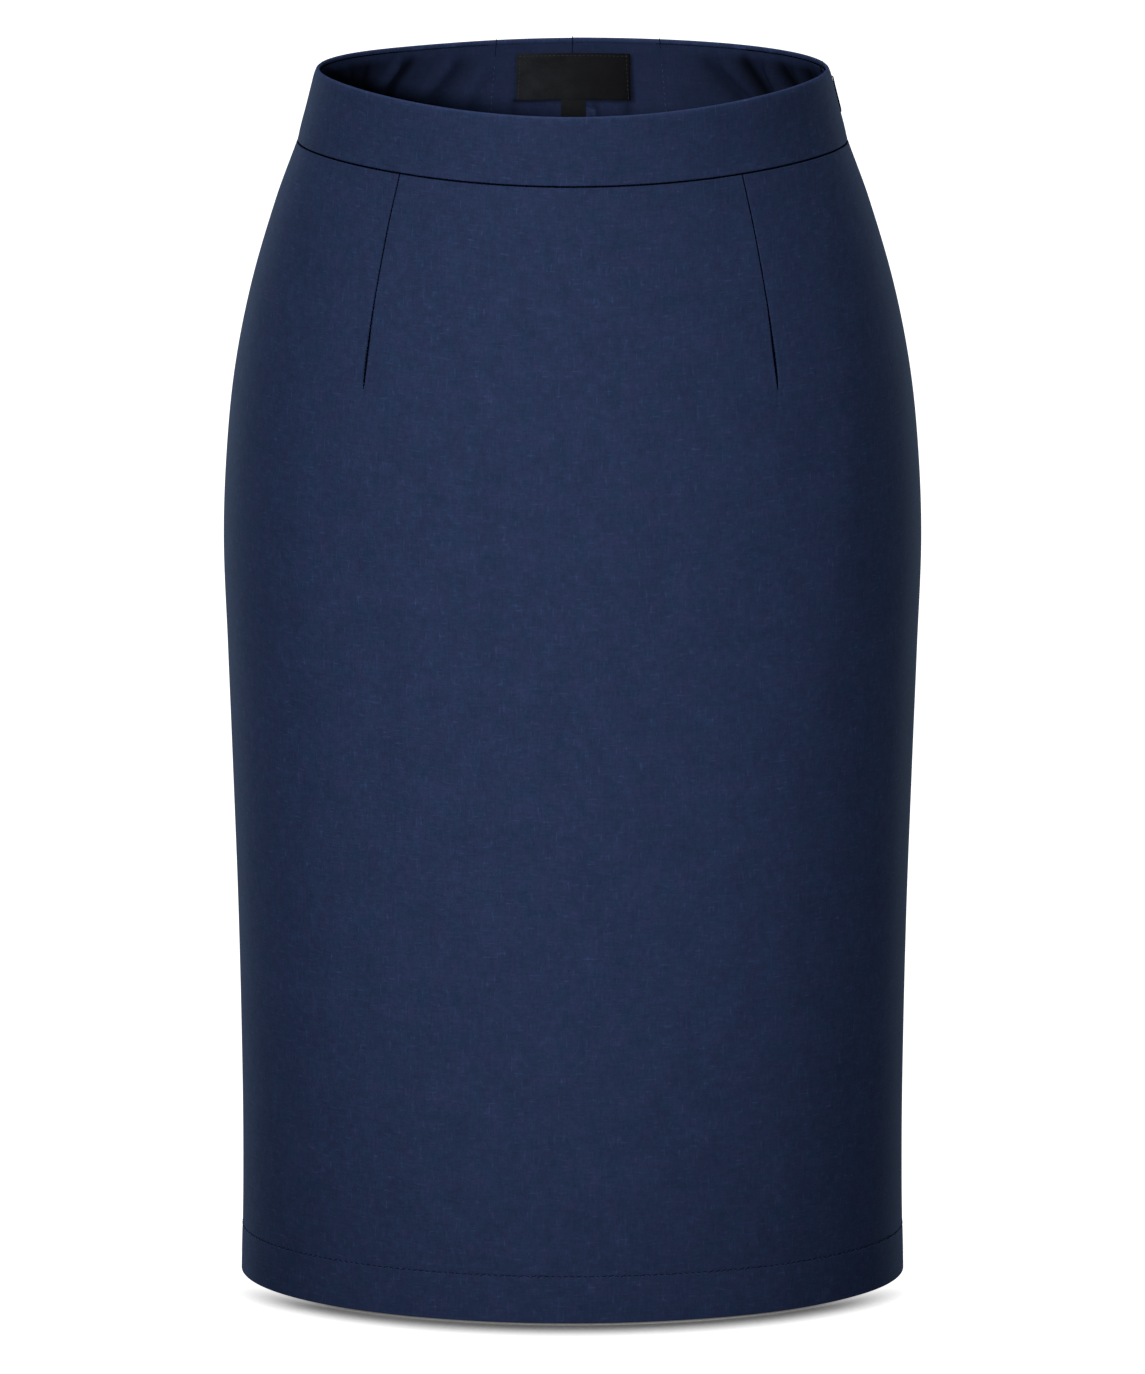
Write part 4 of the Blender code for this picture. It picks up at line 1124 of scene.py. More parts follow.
def facing_painted_shade(angle, height):
    """Give the facing's painted shade, from 0 to 1: in folds, to the sides, under the label."""
    below = (top_height(angle) - height) / MM
    turn = (angle + 180.0) % 360.0 - 180.0
    shade = np.interp(turn, *zip(*SIDE_SHADE))
    light = 1.0 - shade * smooth_step(below, SHADE_BEGINS, SHADE_FULL)
    for *course, half_width, _amount, dark in FACING_FOLDS:
        if dark:
            wider = (*course, SHADE_WIDER * half_width)
            light = light * (1.0 - dark * along_fold(angle, below, wider))
    across = (CENTRE_BACK - angle % 360.0) * metres_per_degree(CENTRE_BACK, 0.0) / MM
    across, down = across - LABEL_MIDDLE / MM, below - LABEL_BELOW_TOP / MM
    beside = np.abs(across) - 0.5 * LABEL_WIDTH / MM
    under = down - LABEL_HEIGHT / MM
    out = np.hypot(np.clip(beside, 0.0, None), np.clip(under, 0.0, None))
    near = np.exp(-(out / LABEL_SHADE_REACH) ** 2) * smooth_step(down, 0.0, 2.0)
    side = np.where(across > 0.0, 1.0, SHADOW_RIGHT_OF_LABEL)
    return 1.0 - light * (1.0 - SHADOW_UNDER_LABEL * near * np.where(under > 0.0, 1.0, side))


angle = np.arange(-180.0, 180.0)
print("the darkest hollow is",
      round(float(facing_painted_shade(angle, top_height(angle) - 0.02).max()), 2))


# %% The facing's rows and columns
def facing_rows():
    """Give the facing's rows, from behind its top edge down to its raw edge."""
    length = BAND_LENGTH + FACING_BELOW_SEAM - FACING_DROP
    top = edge_rows(0.0, -1, length, 0.0025, gap=0.0, radius=0.00045, steps=6)
    return np.concatenate([top, plain_rows(np.linspace(0.12, 1.0, 24), length)])


def facing_columns(start, stop, from_start, from_stop):
    """Give a facing's columns, turned under at both ends."""
    turned_under = dict(allowance=0.0, radius=0.00045, steps=6)
    return np.concatenate([
        edge_columns(start, 1, gap=from_start, **turned_under),
        fill_columns(start + from_start / 0.002, stop - from_stop / 0.002, 0.0020, ()),
        edge_columns(stop, -1, gap=from_stop, **turned_under)])


print(len(facing_rows()), "rows down the facing")

# %% The facing's pieces
for node, start, stop, from_start, from_stop in (
        ("facing_front", -SIDE_SEAM, SIDE_SEAM, HALF_SEAM_GAP, FACING_TO_ZIP),
        ("facing_back_left", SIDE_SEAM, CENTRE_BACK, FACING_TO_ZIP, HALF_SEAM_GAP),
        ("facing_back_right", -CENTRE_BACK, -SIDE_SEAM, HALF_SEAM_GAP, HALF_SEAM_GAP)):
    piece, angle, height = add_sheet(
        node, facing_columns(start, stop, from_start, from_stop), facing_rows(), facing_top,
        facing_foot, facing_sink, shaded_facing_cloth, FACING_CLOTH,
        side=-1.0)
    set_painted_shade_and_highlight(piece, facing_painted_shade(angle, height))

# %% [markdown]
# ## The label and the size tab
#
# The label is a woven strip with its ends folded under, stitched to the facing round its
# edge. The size tab is a short loop of ribbon caught under the label's lower edge. Both
# are left plain.

# %% Label and tab
TAB_WIDTH, TAB_HEIGHT, TAB_TUCKED = 0.0134, 0.0120, 0.0030
TAB_LENGTH = TAB_HEIGHT + TAB_TUCKED
# how deep the label and the tab lie behind the facing's depth, and how much further low down
LABEL_DEEPER, LABEL_LEANS = 0.00075, 0.00025
TAB_DEEPER, TAB_LEANS = 0.00045, 0.0009
label_top = float(top_height(CENTRE_BACK)) - LABEL_BELOW_TOP


def level_of(height):
    """Give a level line."""
    return lambda angle: np.full_like(np.asarray(angle, float), height)


def label_sink(angle, height):
    """Tell how deep the label lies: on the facing, waving a little at its lower edge."""
    across = (CENTRE_BACK - angle) * metres_per_degree(CENTRE_BACK, 0.0)
    low = smooth_step(label_top - height, 0.010, LABEL_HEIGHT)
    wave = 0.00018 * np.sin(across / 0.0041 + 0.6) + 0.00012 * np.sin(across / 0.0017 + 2.0)
    return FACING_INSET + LABEL_DEEPER + low * (LABEL_LEANS + wave)


def strip_columns(width, step, middle, **run):
    """Give columns across a narrow strip with its ends turned under."""
    left = edge_columns(CENTRE_BACK, 1, gap=0.0, **run)
    right = edge_columns(CENTRE_BACK, -1, gap=0.0, **run)
    left[:, OFFSET] += middle - 0.5 * width
    right[:, OFFSET] += middle + 0.5 * width
    start, stop = left[-1, OFFSET], right[0, OFFSET]
    inner = np.linspace(start + step, stop - step, int((stop - start) / step))
    return np.concatenate([left, columns_of(CENTRE_BACK, inner), right])


columns = strip_columns(LABEL_WIDTH, 0.0008, -LABEL_MIDDLE, allowance=0.004, radius=0.0002,
                        steps=5, near=(0.0004, 0.0009))
rows = plain_rows(np.linspace(0.0, 1.0, 34), LABEL_HEIGHT)
add_sheet("label", columns, rows, level_of(label_top), level_of(label_top - LABEL_HEIGHT),
          label_sink, label_cloth, 0.00020,
          side=-1.0)

tab_top = label_top - LABEL_HEIGHT + TAB_TUCKED


def tab_sink(angle, height):
    """Tell how deep the size tab lies: it leans out a little from under the label."""
    leans = smooth_step(tab_top - height, TAB_TUCKED, 0.014)
    return FACING_INSET + TAB_DEEPER + TAB_LEANS * leans


columns = strip_columns(TAB_WIDTH, 0.0009, -LABEL_MIDDLE * 1.2, allowance=0.0, radius=0.00008,
                        turn=0.1, steps=2, near=(0.0003,))
rows = np.concatenate([
    plain_rows(np.linspace(0.0, 0.9, 14), TAB_LENGTH),
    edge_rows(1.0, 1, TAB_LENGTH, 0.008, gap=0.0, radius=0.00022, steps=6,
              near=(0.0004, 0.0009))])
add_sheet("size_tab", columns, rows, level_of(tab_top), level_of(tab_top - TAB_LENGTH),
          tab_sink, label_cloth, 0.00012, side=-1.0)

# %% [markdown]
# ## The concealed zip
#
# A concealed zip is sewn so that its coils lie behind the seam and only the pull shows.
# Its two tapes lie on the seam allowances. The rigid model has them at the right place, so
# here they become thin herringbone tape.

# %% Zip tapes
TAPE_INSET = 0.0018


def tape_sink(angle, height):
    """Tell how deep the tapes lie."""
    return np.full(np.broadcast(angle, height).shape, TAPE_INSET)


def zip_top(angle):
    """Give the height of the tapes' top edge."""
    return top_height(angle) - ZIP_BELOW_TOP


for node, way, owner in (("zip_tape_front", -1, "front_panel_sheet"),
                         ("zip_tape_back", 1, "back_panel_left_sheet")):
    across = np.linspace(0.00045, TAPE_WIDTH, 12)
    columns = columns_of(SIDE_SEAM, np.sort(way * across))
    rows = plain_rows(np.linspace(0.0, 1.0, 90), ZIP_LENGTH)
    add_sheet(node, columns, rows, zip_top, lambda angle: zip_top(angle) - ZIP_LENGTH,
              tape_sink, tape_cloth, 0.0004, side=-1.0)

# %% [markdown]
# ## The slider and its pull
#
# The slider has a flat body inside, a thin neck that passes between the two edges, and a
# small eye outside, in which the pull's pin turns. All three are plates with rounded edges.
# A flat curve is the quickest way to such a plate: it fills itself, leaves holes for inner
# loops, and its bevel rounds every edge. Each becomes a mesh before it is put in place. The
# pull turns with its own body, about the hinge of the rigid model.

# %% The slider's place
def zip_place():
    """Give the slider's point on the skin, and the ways out, round to the back and up."""
    height = float(top_height(SIDE_SEAM)) - SLIDER_BELOW_TOP
    out = skin_normal(SIDE_SEAM, height)
    around = np.cross(skin_point(SIDE_SEAM, height + 0.0005)
                      - skin_point(SIDE_SEAM, height - 0.0005), out)
    around /= np.linalg.norm(around)
    return skin_point(SIDE_SEAM, height), out, around, np.cross(out, around)


zip_point, zip_out, zip_around, zip_up = zip_place()
print("the slider is", round(float(zip_point[0]) / MM), "mm to the side of the middle")


# %% Plates with rounded edges
def take_mesh(thing):
    """Give the finished mesh of an object, and remove the object."""
    shown = thing.evaluated_get(bpy.context.evaluated_depsgraph_get())
    mesh = bpy.data.meshes.new_from_object(shown)
    bpy.data.objects.remove(thing)
    return mesh


def plate(outlines, thickness, bevel, middle, across, up):
    """Make the mesh of a plate with rounded edges from its outlines."""
    curve = bpy.data.curves.new("plate", "CURVE")
    curve.dimensions, curve.fill_mode = "2D", "BOTH"
    curve.extrude, curve.bevel_depth = 0.5 * thickness - bevel, bevel
    curve.bevel_resolution, curve.offset = 2, -bevel
    for points in outlines:
        spline = curve.splines.new("POLY")
        spline.points.add(len(points) - 1)
        spline.use_cyclic_u = True
        for knot, (x, y) in zip(spline.points, points):
            knot.co = (x, y, 0.0, 1.0)
    mesh = take_mesh(in_scene("plate", curve))
    place = Matrix((across, up, np.cross(across, up))).transposed().to_4x4()
    place.translation = middle
    mesh.transform(place)
    return mesh


def joined(name, meshes):
    """Join meshes into one, with doubled points merged and all faces outward."""
    build = bmesh.new()
    for mesh in meshes:
        build.from_mesh(mesh)
    bmesh.ops.remove_doubles(build, verts=build.verts, dist=1e-6)
    bmesh.ops.recalc_face_normals(build, faces=build.faces)
    whole = bpy.data.meshes.new(name)
    build.to_mesh(whole)
    build.free()
    whole.shade_smooth()
    whole.set_sharp_from_angle(angle=math.radians(50.0))
    return whole


def arc(middle, radius, start, stop, count):
    """Give points on an arc, in degrees from the first axis."""
    turn = np.radians(np.linspace(start, stop, count))
    return [(middle[0] + radius * math.cos(t), middle[1] + radius * math.sin(t)) for t in turn]


def rounded_block(half_width, half_height, corner):
    """Give the outline of a rectangle with round corners."""
    points = []
    for number, (x, y) in enumerate(((1, 1), (-1, 1), (-1, -1), (1, -1))):
        middle = (x * (half_width - corner), y * (half_height - corner))
        points += arc(middle, corner, 90.0 * number, 90.0 * number + 90.0, 6)
    return points


# %% The slider
PIN_OUT = float(np.dot(np.array(frame["joints"][0]["pos_m"]) - zip_point, zip_out))
PLATE_DEPTH, NECK_DEPTH, FLANGE_ASIDE = 0.0040, 0.0017, 0.0026
body = plate([rounded_block(0.0032, 0.0045, 0.0011)], 0.0016, 0.00040,
             zip_point - zip_out * PLATE_DEPTH, zip_around, zip_up)
flanges = [plate([rounded_block(0.0005, 0.0043, 0.0004)], 0.0011, 0.00025,
                 zip_point - zip_out * (PLATE_DEPTH - 0.0009) + zip_around * way * FLANGE_ASIDE,
                 zip_around, zip_up) for way in (-1, 1)]
neck = plate([rounded_block(0.0023, 0.0020, 0.0003)], 0.0007, 0.00010,
             zip_point - zip_out * NECK_DEPTH, zip_out, zip_up)
eye = plate([rounded_block(0.00105, 0.0026, 0.0008), rounded_block(0.00055, 0.0020, 0.0004)],
            0.0013, 0.00016, zip_point + zip_out * (PIN_OUT - 0.0003), zip_out, zip_up)
slider = add_piece("zip_slider_body", joined("zip_slider_body", [body, *flanges, neck, eye]),
                   zip_paint)
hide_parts("zip_slider")
print(slider.name, len(slider.data.polygons), "faces")

# %% The pull
PULL_LENGTH, PULL_HALF_TOP, PULL_END, PULL_CORNER = 0.0175, 0.0024, 0.0030, 0.0006
PIN_HALF, HOLE_RADIUS, WINDOW_DOWN = 0.00034, 0.0011, 0.0026
pull_foot = PIN_HALF - PULL_LENGTH + PULL_END
edge = arc((PULL_HALF_TOP - 0.0007, PIN_HALF - 0.0005), PULL_CORNER, 0.0, 90.0, 5)
edge += arc((-PULL_HALF_TOP + 0.0007, PIN_HALF - 0.0005), PULL_CORNER, 90.0, 180.0, 5)
edge += arc((0.0, pull_foot), PULL_END, 175.0, 365.0, 25)
window = [(HOLE_RADIUS, -PIN_HALF), (-HOLE_RADIUS, -PIN_HALF)]
window += arc((0.0, -WINDOW_DOWN), HOLE_RADIUS, 180.0, 360.0, 9)
eyelet = arc((0.0, pull_foot), HOLE_RADIUS, 0.0, 345.0, 20)
hinge_point = zip_point + zip_out * PIN_OUT
pull = plate([edge, window, eyelet], 0.00068, 0.00018, hinge_point, zip_around, zip_up)
pull = add_piece("zip_pull_tab", joined("zip_pull_tab", [pull]), zip_paint,
                 body="pull_tab")
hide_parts("zip_pull")
print("the pin turns", round(PIN_OUT / MM, 2), "mm out from the cloth")

# %% [markdown]
# ## The zip's coil
#
# The teeth of a concealed zip are a nylon coil, one wire wound into a flat spiral on each
# tape. Where the zip is closed the two coils mesh. A rule makes it: walk along a path, and
# swing round it once for each turn of the coil. Geometry Nodes does this well. The path is
# resampled into even steps, each point is moved by the sine and cosine of its number, and
# the result is given a round section.
#
# The tree has named inputs, so the same tree winds both coils. Each path carries an
# attribute named out, the direction away from the tape, which tells the coil how to lie.

# %% Helpers for Geometry Nodes
def new_tree(name, inputs):
    """Make a Geometry Nodes tree with named inputs. Give it, its input and its output."""
    tree = bpy.data.node_groups.new(name, "GeometryNodeTree")
    for way in ("INPUT", "OUTPUT"):
        tree.interface.new_socket("Geometry", in_out=way, socket_type="NodeSocketGeometry")
    for title, kind in inputs:
        tree.interface.new_socket(title, in_out="INPUT", socket_type="NodeSocket" + kind)
    return tree, put(tree, "NodeGroupInput").outputs, put(tree, "NodeGroupOutput")


def finish_tree(tree, given, output, geometry):
    """End a tree: make its copies real, give them their material and shade them smooth."""
    whole = put(tree, "GeometryNodeRealizeInstances", {"Geometry": geometry})
    painted = put(tree, "GeometryNodeSetMaterial", {"Geometry": whole.outputs[0],
                                                    "Material": given["Material"]})
    smooth = put(tree, "GeometryNodeSetShadeSmooth", {"Geometry": painted.outputs[0]})
    tree.links.new(smooth.outputs[0], output.inputs[0])
    return tree


def path_mesh(name, paths):
    """Make a mesh of lines from lists of (points, out directions)."""
    points, outs, edges = [], [], []
    for line, out in paths:
        edges += [(len(points) + step, len(points) + step + 1) for step in range(len(line) - 1)]
        points += [tuple(point) for point in line]
        outs += [tuple(way) for way in out]
    mesh = bpy.data.meshes.new(name)
    mesh.from_pydata(points, edges, [])
    attribute = mesh.attributes.new("out", "FLOAT_VECTOR", "POINT")
    attribute.data.foreach_set("vector", np.asarray(outs, np.float32).ravel())
    return mesh


def bake(name, mesh, tree, values, body=BODY):
    """Run a tree on a mesh of paths and keep the result as a plain piece."""
    source = in_scene(name + "_path", mesh)
    nodes = source.modifiers.new("nodes", "NODES")
    nodes.node_group = tree
    for socket in tree.interface.items_tree:
        if socket.in_out == "INPUT" and socket.name in values:
            nodes[socket.identifier] = values[socket.name]
    baked = take_mesh(source)
    baked.name = name
    piece = in_scene(name, baked)
    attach(piece, body)
    print(name, len(baked.polygons), "faces")
    return piece


# %% The coil's tree
COIL_STEPS = 10


def coil_tree():
    """Make the tree that winds a wire round a path."""
    tree, given, output = new_tree("coil", (
        ("Pitch", "Float"), ("Half Width", "Float"), ("Half Height", "Float"),
        ("Wire", "Float"), ("Start Turn", "Float"), ("Material", "Material")))
    path = put(tree, "GeometryNodeMeshToCurve", {"Mesh": given["Geometry"]})
    step = calc(tree, "DIVIDE", given["Pitch"], float(COIL_STEPS))
    even = put(tree, "GeometryNodeResampleCurve", {"Curve": path.outputs[0], "Length": step},
               mode="LENGTH")
    number = put(tree, "GeometryNodeInputIndex").outputs[0]
    turn = calc(tree, "MULTIPLY_ADD", number, 2.0 * math.pi / COIL_STEPS, given["Start Turn"])
    out = put(tree, "GeometryNodeInputNamedAttribute", {"Name": "out"},
              data_type="FLOAT_VECTOR")
    along = put(tree, "GeometryNodeInputTangent")
    side = put(tree, "ShaderNodeVectorMath", {0: along.outputs[0], 1: out.outputs[0]},
               operation="CROSS_PRODUCT")
    moves = []
    for kind, size, way in (("COSINE", "Half Width", side), ("SINE", "Half Height", out)):
        reach = calc(tree, "MULTIPLY", calc(tree, kind, turn), given[size])
        move = put(tree, "ShaderNodeVectorMath", {0: way.outputs[0]}, operation="SCALE")
        tree.links.new(reach, move.inputs["Scale"])
        moves.append(move.outputs[0])
    both = put(tree, "ShaderNodeVectorMath", {0: moves[0], 1: moves[1]}, operation="ADD")
    wound = put(tree, "GeometryNodeSetPosition", {"Geometry": even.outputs[0],
                                                  "Offset": both.outputs[0]})
    ring = put(tree, "GeometryNodeCurvePrimitiveCircle", {"Resolution": 5,
                                                          "Radius": given["Wire"]})
    wire = put(tree, "GeometryNodeCurveToMesh", {"Curve": wound.outputs[0],
                                                 "Profile Curve": ring.outputs[0]})
    return finish_tree(tree, given, output, wire.outputs[0])


coil = coil_tree()
print("the coil's tree has", len(coil.nodes), "nodes")

# %% Winding both coils
COIL_MIDDLE_DEPTH = 0.00265
COIL_PITCH = 0.0013
COIL_APART, COIL_OPEN = 0.00078, 0.00085
COIL_HALF_WIDTH, COIL_HALF_HEIGHT, COIL_WIRE = 0.00098, 0.00052, 0.00030
coil_colour = plain_thread("nylon_coil", (0.0070, 0.0108, 0.0300), gloss=0.05)
for name, way, start_turn in (("zip_coil_front", -1, 0.0), ("zip_coil_back", 1, math.pi)):
    height = np.linspace(ZIP_FOOT + 0.003, BAND_TOP - ZIP_BELOW_TOP - 0.0040, 90)
    aside = COIL_APART + COIL_OPEN * smooth_step(height, SLIDER_HEIGHT - 0.002,
                                                 SLIDER_HEIGHT + 0.006)
    angle = SIDE_SEAM + way * aside / metres_per_degree(SIDE_SEAM, height)
    line = layer(angle, height, COIL_MIDDLE_DEPTH)
    mesh = path_mesh(name, [(line, skin_normal(angle, height))])
    bake(name, mesh, coil,
         {"Pitch": COIL_PITCH, "Half Width": COIL_HALF_WIDTH, "Half Height": COIL_HALF_HEIGHT,
          "Wire": COIL_WIRE, "Start Turn": start_turn, "Material": coil_colour})

# %% [markdown]
# ## Stitches
#
# A sewn line is a row of short threads, each a little sunk in the cloth, with a gap where
# the thread goes down through it. The tree below lays such a row along any path. It
# resamples the path to the stitch spacing, sets one short thread on each point, turned
# along the path and a little at random, and varies their length slightly.
#
# One recipe sews it all: the hem's blind stitches, the label's border, the tacks beside the
# label, the rows on the zip's tapes and, turned across the edge, the overlocked raw edges.
# It also lays the dark threads that paint the shade in seams, darts and the rim.
# It is built twice, with round threads and with simpler ones for the many small stitches.

# %% The stitching tree
LENGTH_VARIES = 0.8


def stitch_tree(name, sides, rings):
    """Make the tree that lays short threads along a path."""
    tree, given, output = new_tree(name, (
        ("Spacing", "Float"), ("Length", "Float"), ("Width", "Float"), ("Lean", "Float"),
        ("Unevenness", "Float"), ("Seed", "Int"), ("Material", "Material")))
    path = put(tree, "GeometryNodeMeshToCurve", {"Mesh": given["Geometry"]})
    even = put(tree, "GeometryNodeResampleCurve", {"Curve": path.outputs[0],
                                                   "Length": given["Spacing"]}, mode="LENGTH")
    thread = put(tree, "GeometryNodeMeshUVSphere", {"Segments": sides, "Rings": rings,
                                                    "Radius": 0.5})
    out = put(tree, "GeometryNodeInputNamedAttribute", {"Name": "out"},
              data_type="FLOAT_VECTOR")
    along = put(tree, "GeometryNodeInputTangent")
    turned_to = put(tree, "FunctionNodeAxesToRotation",
                    {"Primary Axis": along.outputs[0], "Secondary Axis": out.outputs[0]},
                    primary_axis="X", secondary_axis="Z")
    less = calc(tree, "MULTIPLY", given["Unevenness"], -1.0)
    chance = put(tree, "FunctionNodeRandomValue", {2: less, 3: given["Unevenness"],
                                                   "Seed": given["Seed"]}, data_type="FLOAT")
    lean = calc(tree, "ADD", given["Lean"], chance.outputs[1])
    twist = put(tree, "FunctionNodeAxisAngleToRotation", {"Axis": (0.0, 0.0, 1.0),
                                                          "Angle": lean})
    rotation = put(tree, "FunctionNodeRotateRotation", {"Rotation": turned_to.outputs[0],
                                                        "Rotate By": twist.outputs[0]},
                   rotation_space="LOCAL")
    vary = calc(tree, "MULTIPLY_ADD", chance.outputs[1], LENGTH_VARIES, 1.0)
    length = calc(tree, "MULTIPLY", given["Length"], vary)
    size = put(tree, "ShaderNodeCombineXYZ", {0: length, 1: given["Width"],
                                              2: given["Width"]})
    row = put(tree, "GeometryNodeInstanceOnPoints",
              {"Points": even.outputs[0], "Instance": thread.outputs[0],
               "Rotation": rotation.outputs[0], "Scale": size.outputs[0]})
    return finish_tree(tree, given, output, row.outputs[0])


round_stitches = stitch_tree("round_stitches", 8, 6)
fine_stitches = stitch_tree("fine_stitches", 4, 3)


def sew(name, paths, spacing, length, width, lean=0.0, unevenness=0.12, seed=1,
        thread=dark_thread, tree=round_stitches):
    """Sew a row of stitches along each path."""
    return bake(name, path_mesh(name, paths), tree,
                {"Spacing": spacing, "Length": length, "Width": width, "Lean": lean,
                 "Unevenness": unevenness, "Seed": seed, "Material": thread})


def surface_path(angle, height, inset, face=1.0):
    """Give a path on a layer, with the direction that its shown side faces."""
    angle, height = np.broadcast_arrays(np.asarray(angle, float), np.asarray(height, float))
    return layer(angle, height, inset), skin_normal(angle, height) * face


# %% Sewing the hem
hem_line = HEM + HEM_DEPTH - 0.0006
LINE_ABOVE_HEM_STITCHES = 0.00065
light_thread = plain_thread("light_navy_thread", (0.0360, 0.0500, 0.1120))
# a navy thread laid along seam lines, partly as their thread and partly to paint their shade
painted_shade_thread = plain_thread("painted_shade_navy_thread", (0.0070, 0.0112, 0.0290), gloss=0.0)
paths = []
for start, stop in ((-CENTRE_BACK + 0.3, -SIDE_SEAM - 0.4), (-SIDE_SEAM + 0.4, SIDE_SEAM - 0.4),
                    (SIDE_SEAM + 0.4, CENTRE_BACK - 16.0)):
    angle = np.linspace(start, stop, int((stop - start) * 2))
    inset = panel_sink(angle, hem_line) - 0.00002
    paths.append(surface_path(angle, hem_line, inset))
sew("hem_stitches", paths, HEM_SPACING, 0.00085, 0.00040, lean=0.35, unevenness=0.5, seed=3,
    thread=light_thread)
# a row of dark dashes just above the hem's stitches paints the shade of the stitched line
up = np.array([0.0, 0.0, LINE_ABOVE_HEM_STITCHES])
paths = [(line + up, normals) for line, normals in paths]
sew("hem_line_painted_shade", paths, HEM_SPACING, 0.0027, 0.00052, unevenness=0.5, seed=9,
    thread=painted_shade_thread)

# %% Sewing the seams and the darts
# a near-black thread, laid deep in the waist seam, the darts and the rim's ditch, paints the
# shadow in their creases
seam_shadow_thread = plain_thread("painted_seam_shadow_thread", (0.0012, 0.0019, 0.0056), gloss=0.0)
angle = np.linspace(-CENTRE_BACK, CENTRE_BACK, 721)
path = surface_path(angle, seam_height(angle), 0.00082 + seam_inset(angle, seam_height(angle)))
sew("waist_seam_painted_shadow", [path], 0.0020, 0.0030, 0.00110, seed=8, thread=seam_shadow_thread)
# where each run of the dark thread that paints a dart's shadow starts and ends, as a share of
# its length, and its width
DART_SHADOW_RUNS = ((0.004, 0.56, 0.00108), (0.56, 0.74, 0.00136), (0.74, 0.94, 0.00164),
                (0.94, 0.995, 0.00078))
for number, (middle, length) in enumerate(DARTS):
    for part, (start, stop, width) in enumerate(DART_SHADOW_RUNS):
        height = seam_height(middle) - length * np.linspace(start, stop, 40)
        path = surface_path(middle, height, 0.00045 - 0.5 * DART_RAISE + 0.5 * width)
        sew(f"dart_stitches_{number + 1}_{part + 1}", [path], 0.0018, 0.0026, width,
            seed=10 + number, thread=seam_shadow_thread)

# a thin dark thread down the side seams and the centre back: partly their thread, partly painted
# shade of their lines
paths = []
for middle, top, foot in ((-SIDE_SEAM, WAIST_SEAM, HEM), (SIDE_SEAM, ZIP_FOOT, HEM),
                          (CENTRE_BACK, WAIST_SEAM, VENT_TOP)):
    height = np.linspace(top - 0.002, foot + 0.001, 300)
    paths.append(surface_path(middle, height, panel_sink(middle, height) + 0.00030))
sew("long_seam_painted_shade", paths, 0.0026, 0.0037, 0.00040, seed=12, thread=painted_shade_thread)

angle = CENTRE_BACK - np.linspace(0.0007, VENT_WIDTH - 0.002, 40) / metres_per_degree(
    CENTRE_BACK, VENT_TOP)
height = np.linspace(VENT_TOP - 0.001, VENT_TOP - 0.016, 40)
sew("vent_stitches", [surface_path(angle, height, panel_sink(angle, height) - 0.00004)],
    0.0027, 0.0020, 0.00036, seed=4)

# %% Sewing the label and the facing
# how far the facing's two rows of tacks lie beside the centre back
TACKS_RIGHT, TACKS_LEFT = -0.0424, 0.0488
# how far below the rim its ditch lies, and how deep under the skin, where a dark thread
# paints the ditch's shadow line
BELOW_RIM, RIM_DITCH_INSET = 0.00022, 0.00215
across = 0.5 * LABEL_WIDTH - 0.0015
degree = float(metres_per_degree(CENTRE_BACK, 0.0))
low, high = label_top - LABEL_HEIGHT + 0.0012, label_top - 0.0014
corners = [(-across, low), (-across, high), (across, high), (across, low)]
paths = []
for (from_x, from_z), (to_x, to_z) in zip(corners, corners[1:]):
    side, height = np.linspace(from_x, to_x, 24), np.linspace(from_z, to_z, 24)
    angle = CENTRE_BACK - (LABEL_MIDDLE + side) / degree
    paths.append(surface_path(angle, height, label_sink(angle, height) + 0.00005, -1.0))
sew("label_stitches", paths, 0.0022, 0.0016, 0.00030, seed=5, thread=label_thread)

paths = []
for side, top_gap in ((TACKS_RIGHT, 0.0165), (TACKS_LEFT, 0.0150)):
    angle = CENTRE_BACK - side / degree
    height = np.linspace(BAND_TOP - top_gap, BAND_TOP - 0.0420, 30)
    paths.append(surface_path(angle, height, facing_sink(angle, height) + 0.00003, -1.0))
sew("facing_tacks", paths, 0.0030, 0.0015, 0.00036, unevenness=0.35, seed=6,
    thread=light_thread)
# short dark threads above the tacks and down the centre back: partly seam thread, partly painted
# shade of the facing's seam lines
paths = []
for side, top, foot in ((TACKS_RIGHT, 2.2, 10.0), (TACKS_LEFT, 1.4, 5.0), (0.0, 1.4, 8.6)):
    angle = CENTRE_BACK - side / degree
    height = BAND_TOP - MM * np.linspace(top, foot, 12)
    paths.append(surface_path(angle, height, facing_sink(angle, height) + 0.00008, -1.0))
sew("facing_seam_painted_shade", paths, 0.0015, 0.0020, 0.00050, seed=6, thread=painted_shade_thread)
for part, (first, last, thread, width) in enumerate((
        (-136.0, 136.0, seam_shadow_thread, 0.00058), (137.0, 160.0, painted_shade_thread, 0.00046),
        (-160.0, -137.0, painted_shade_thread, 0.00046))):
    angle = np.linspace(first, last, int(2 * (last - first)))
    height = top_height(angle) - RIM_RADIUS - RIM_INSIDE - BELOW_RIM
    sew(f"rim_ditch_stitches_{part + 1}", [surface_path(angle, height, RIM_DITCH_INSET, -1.0)],
        0.0020, 0.0030, width, seed=6, thread=thread)

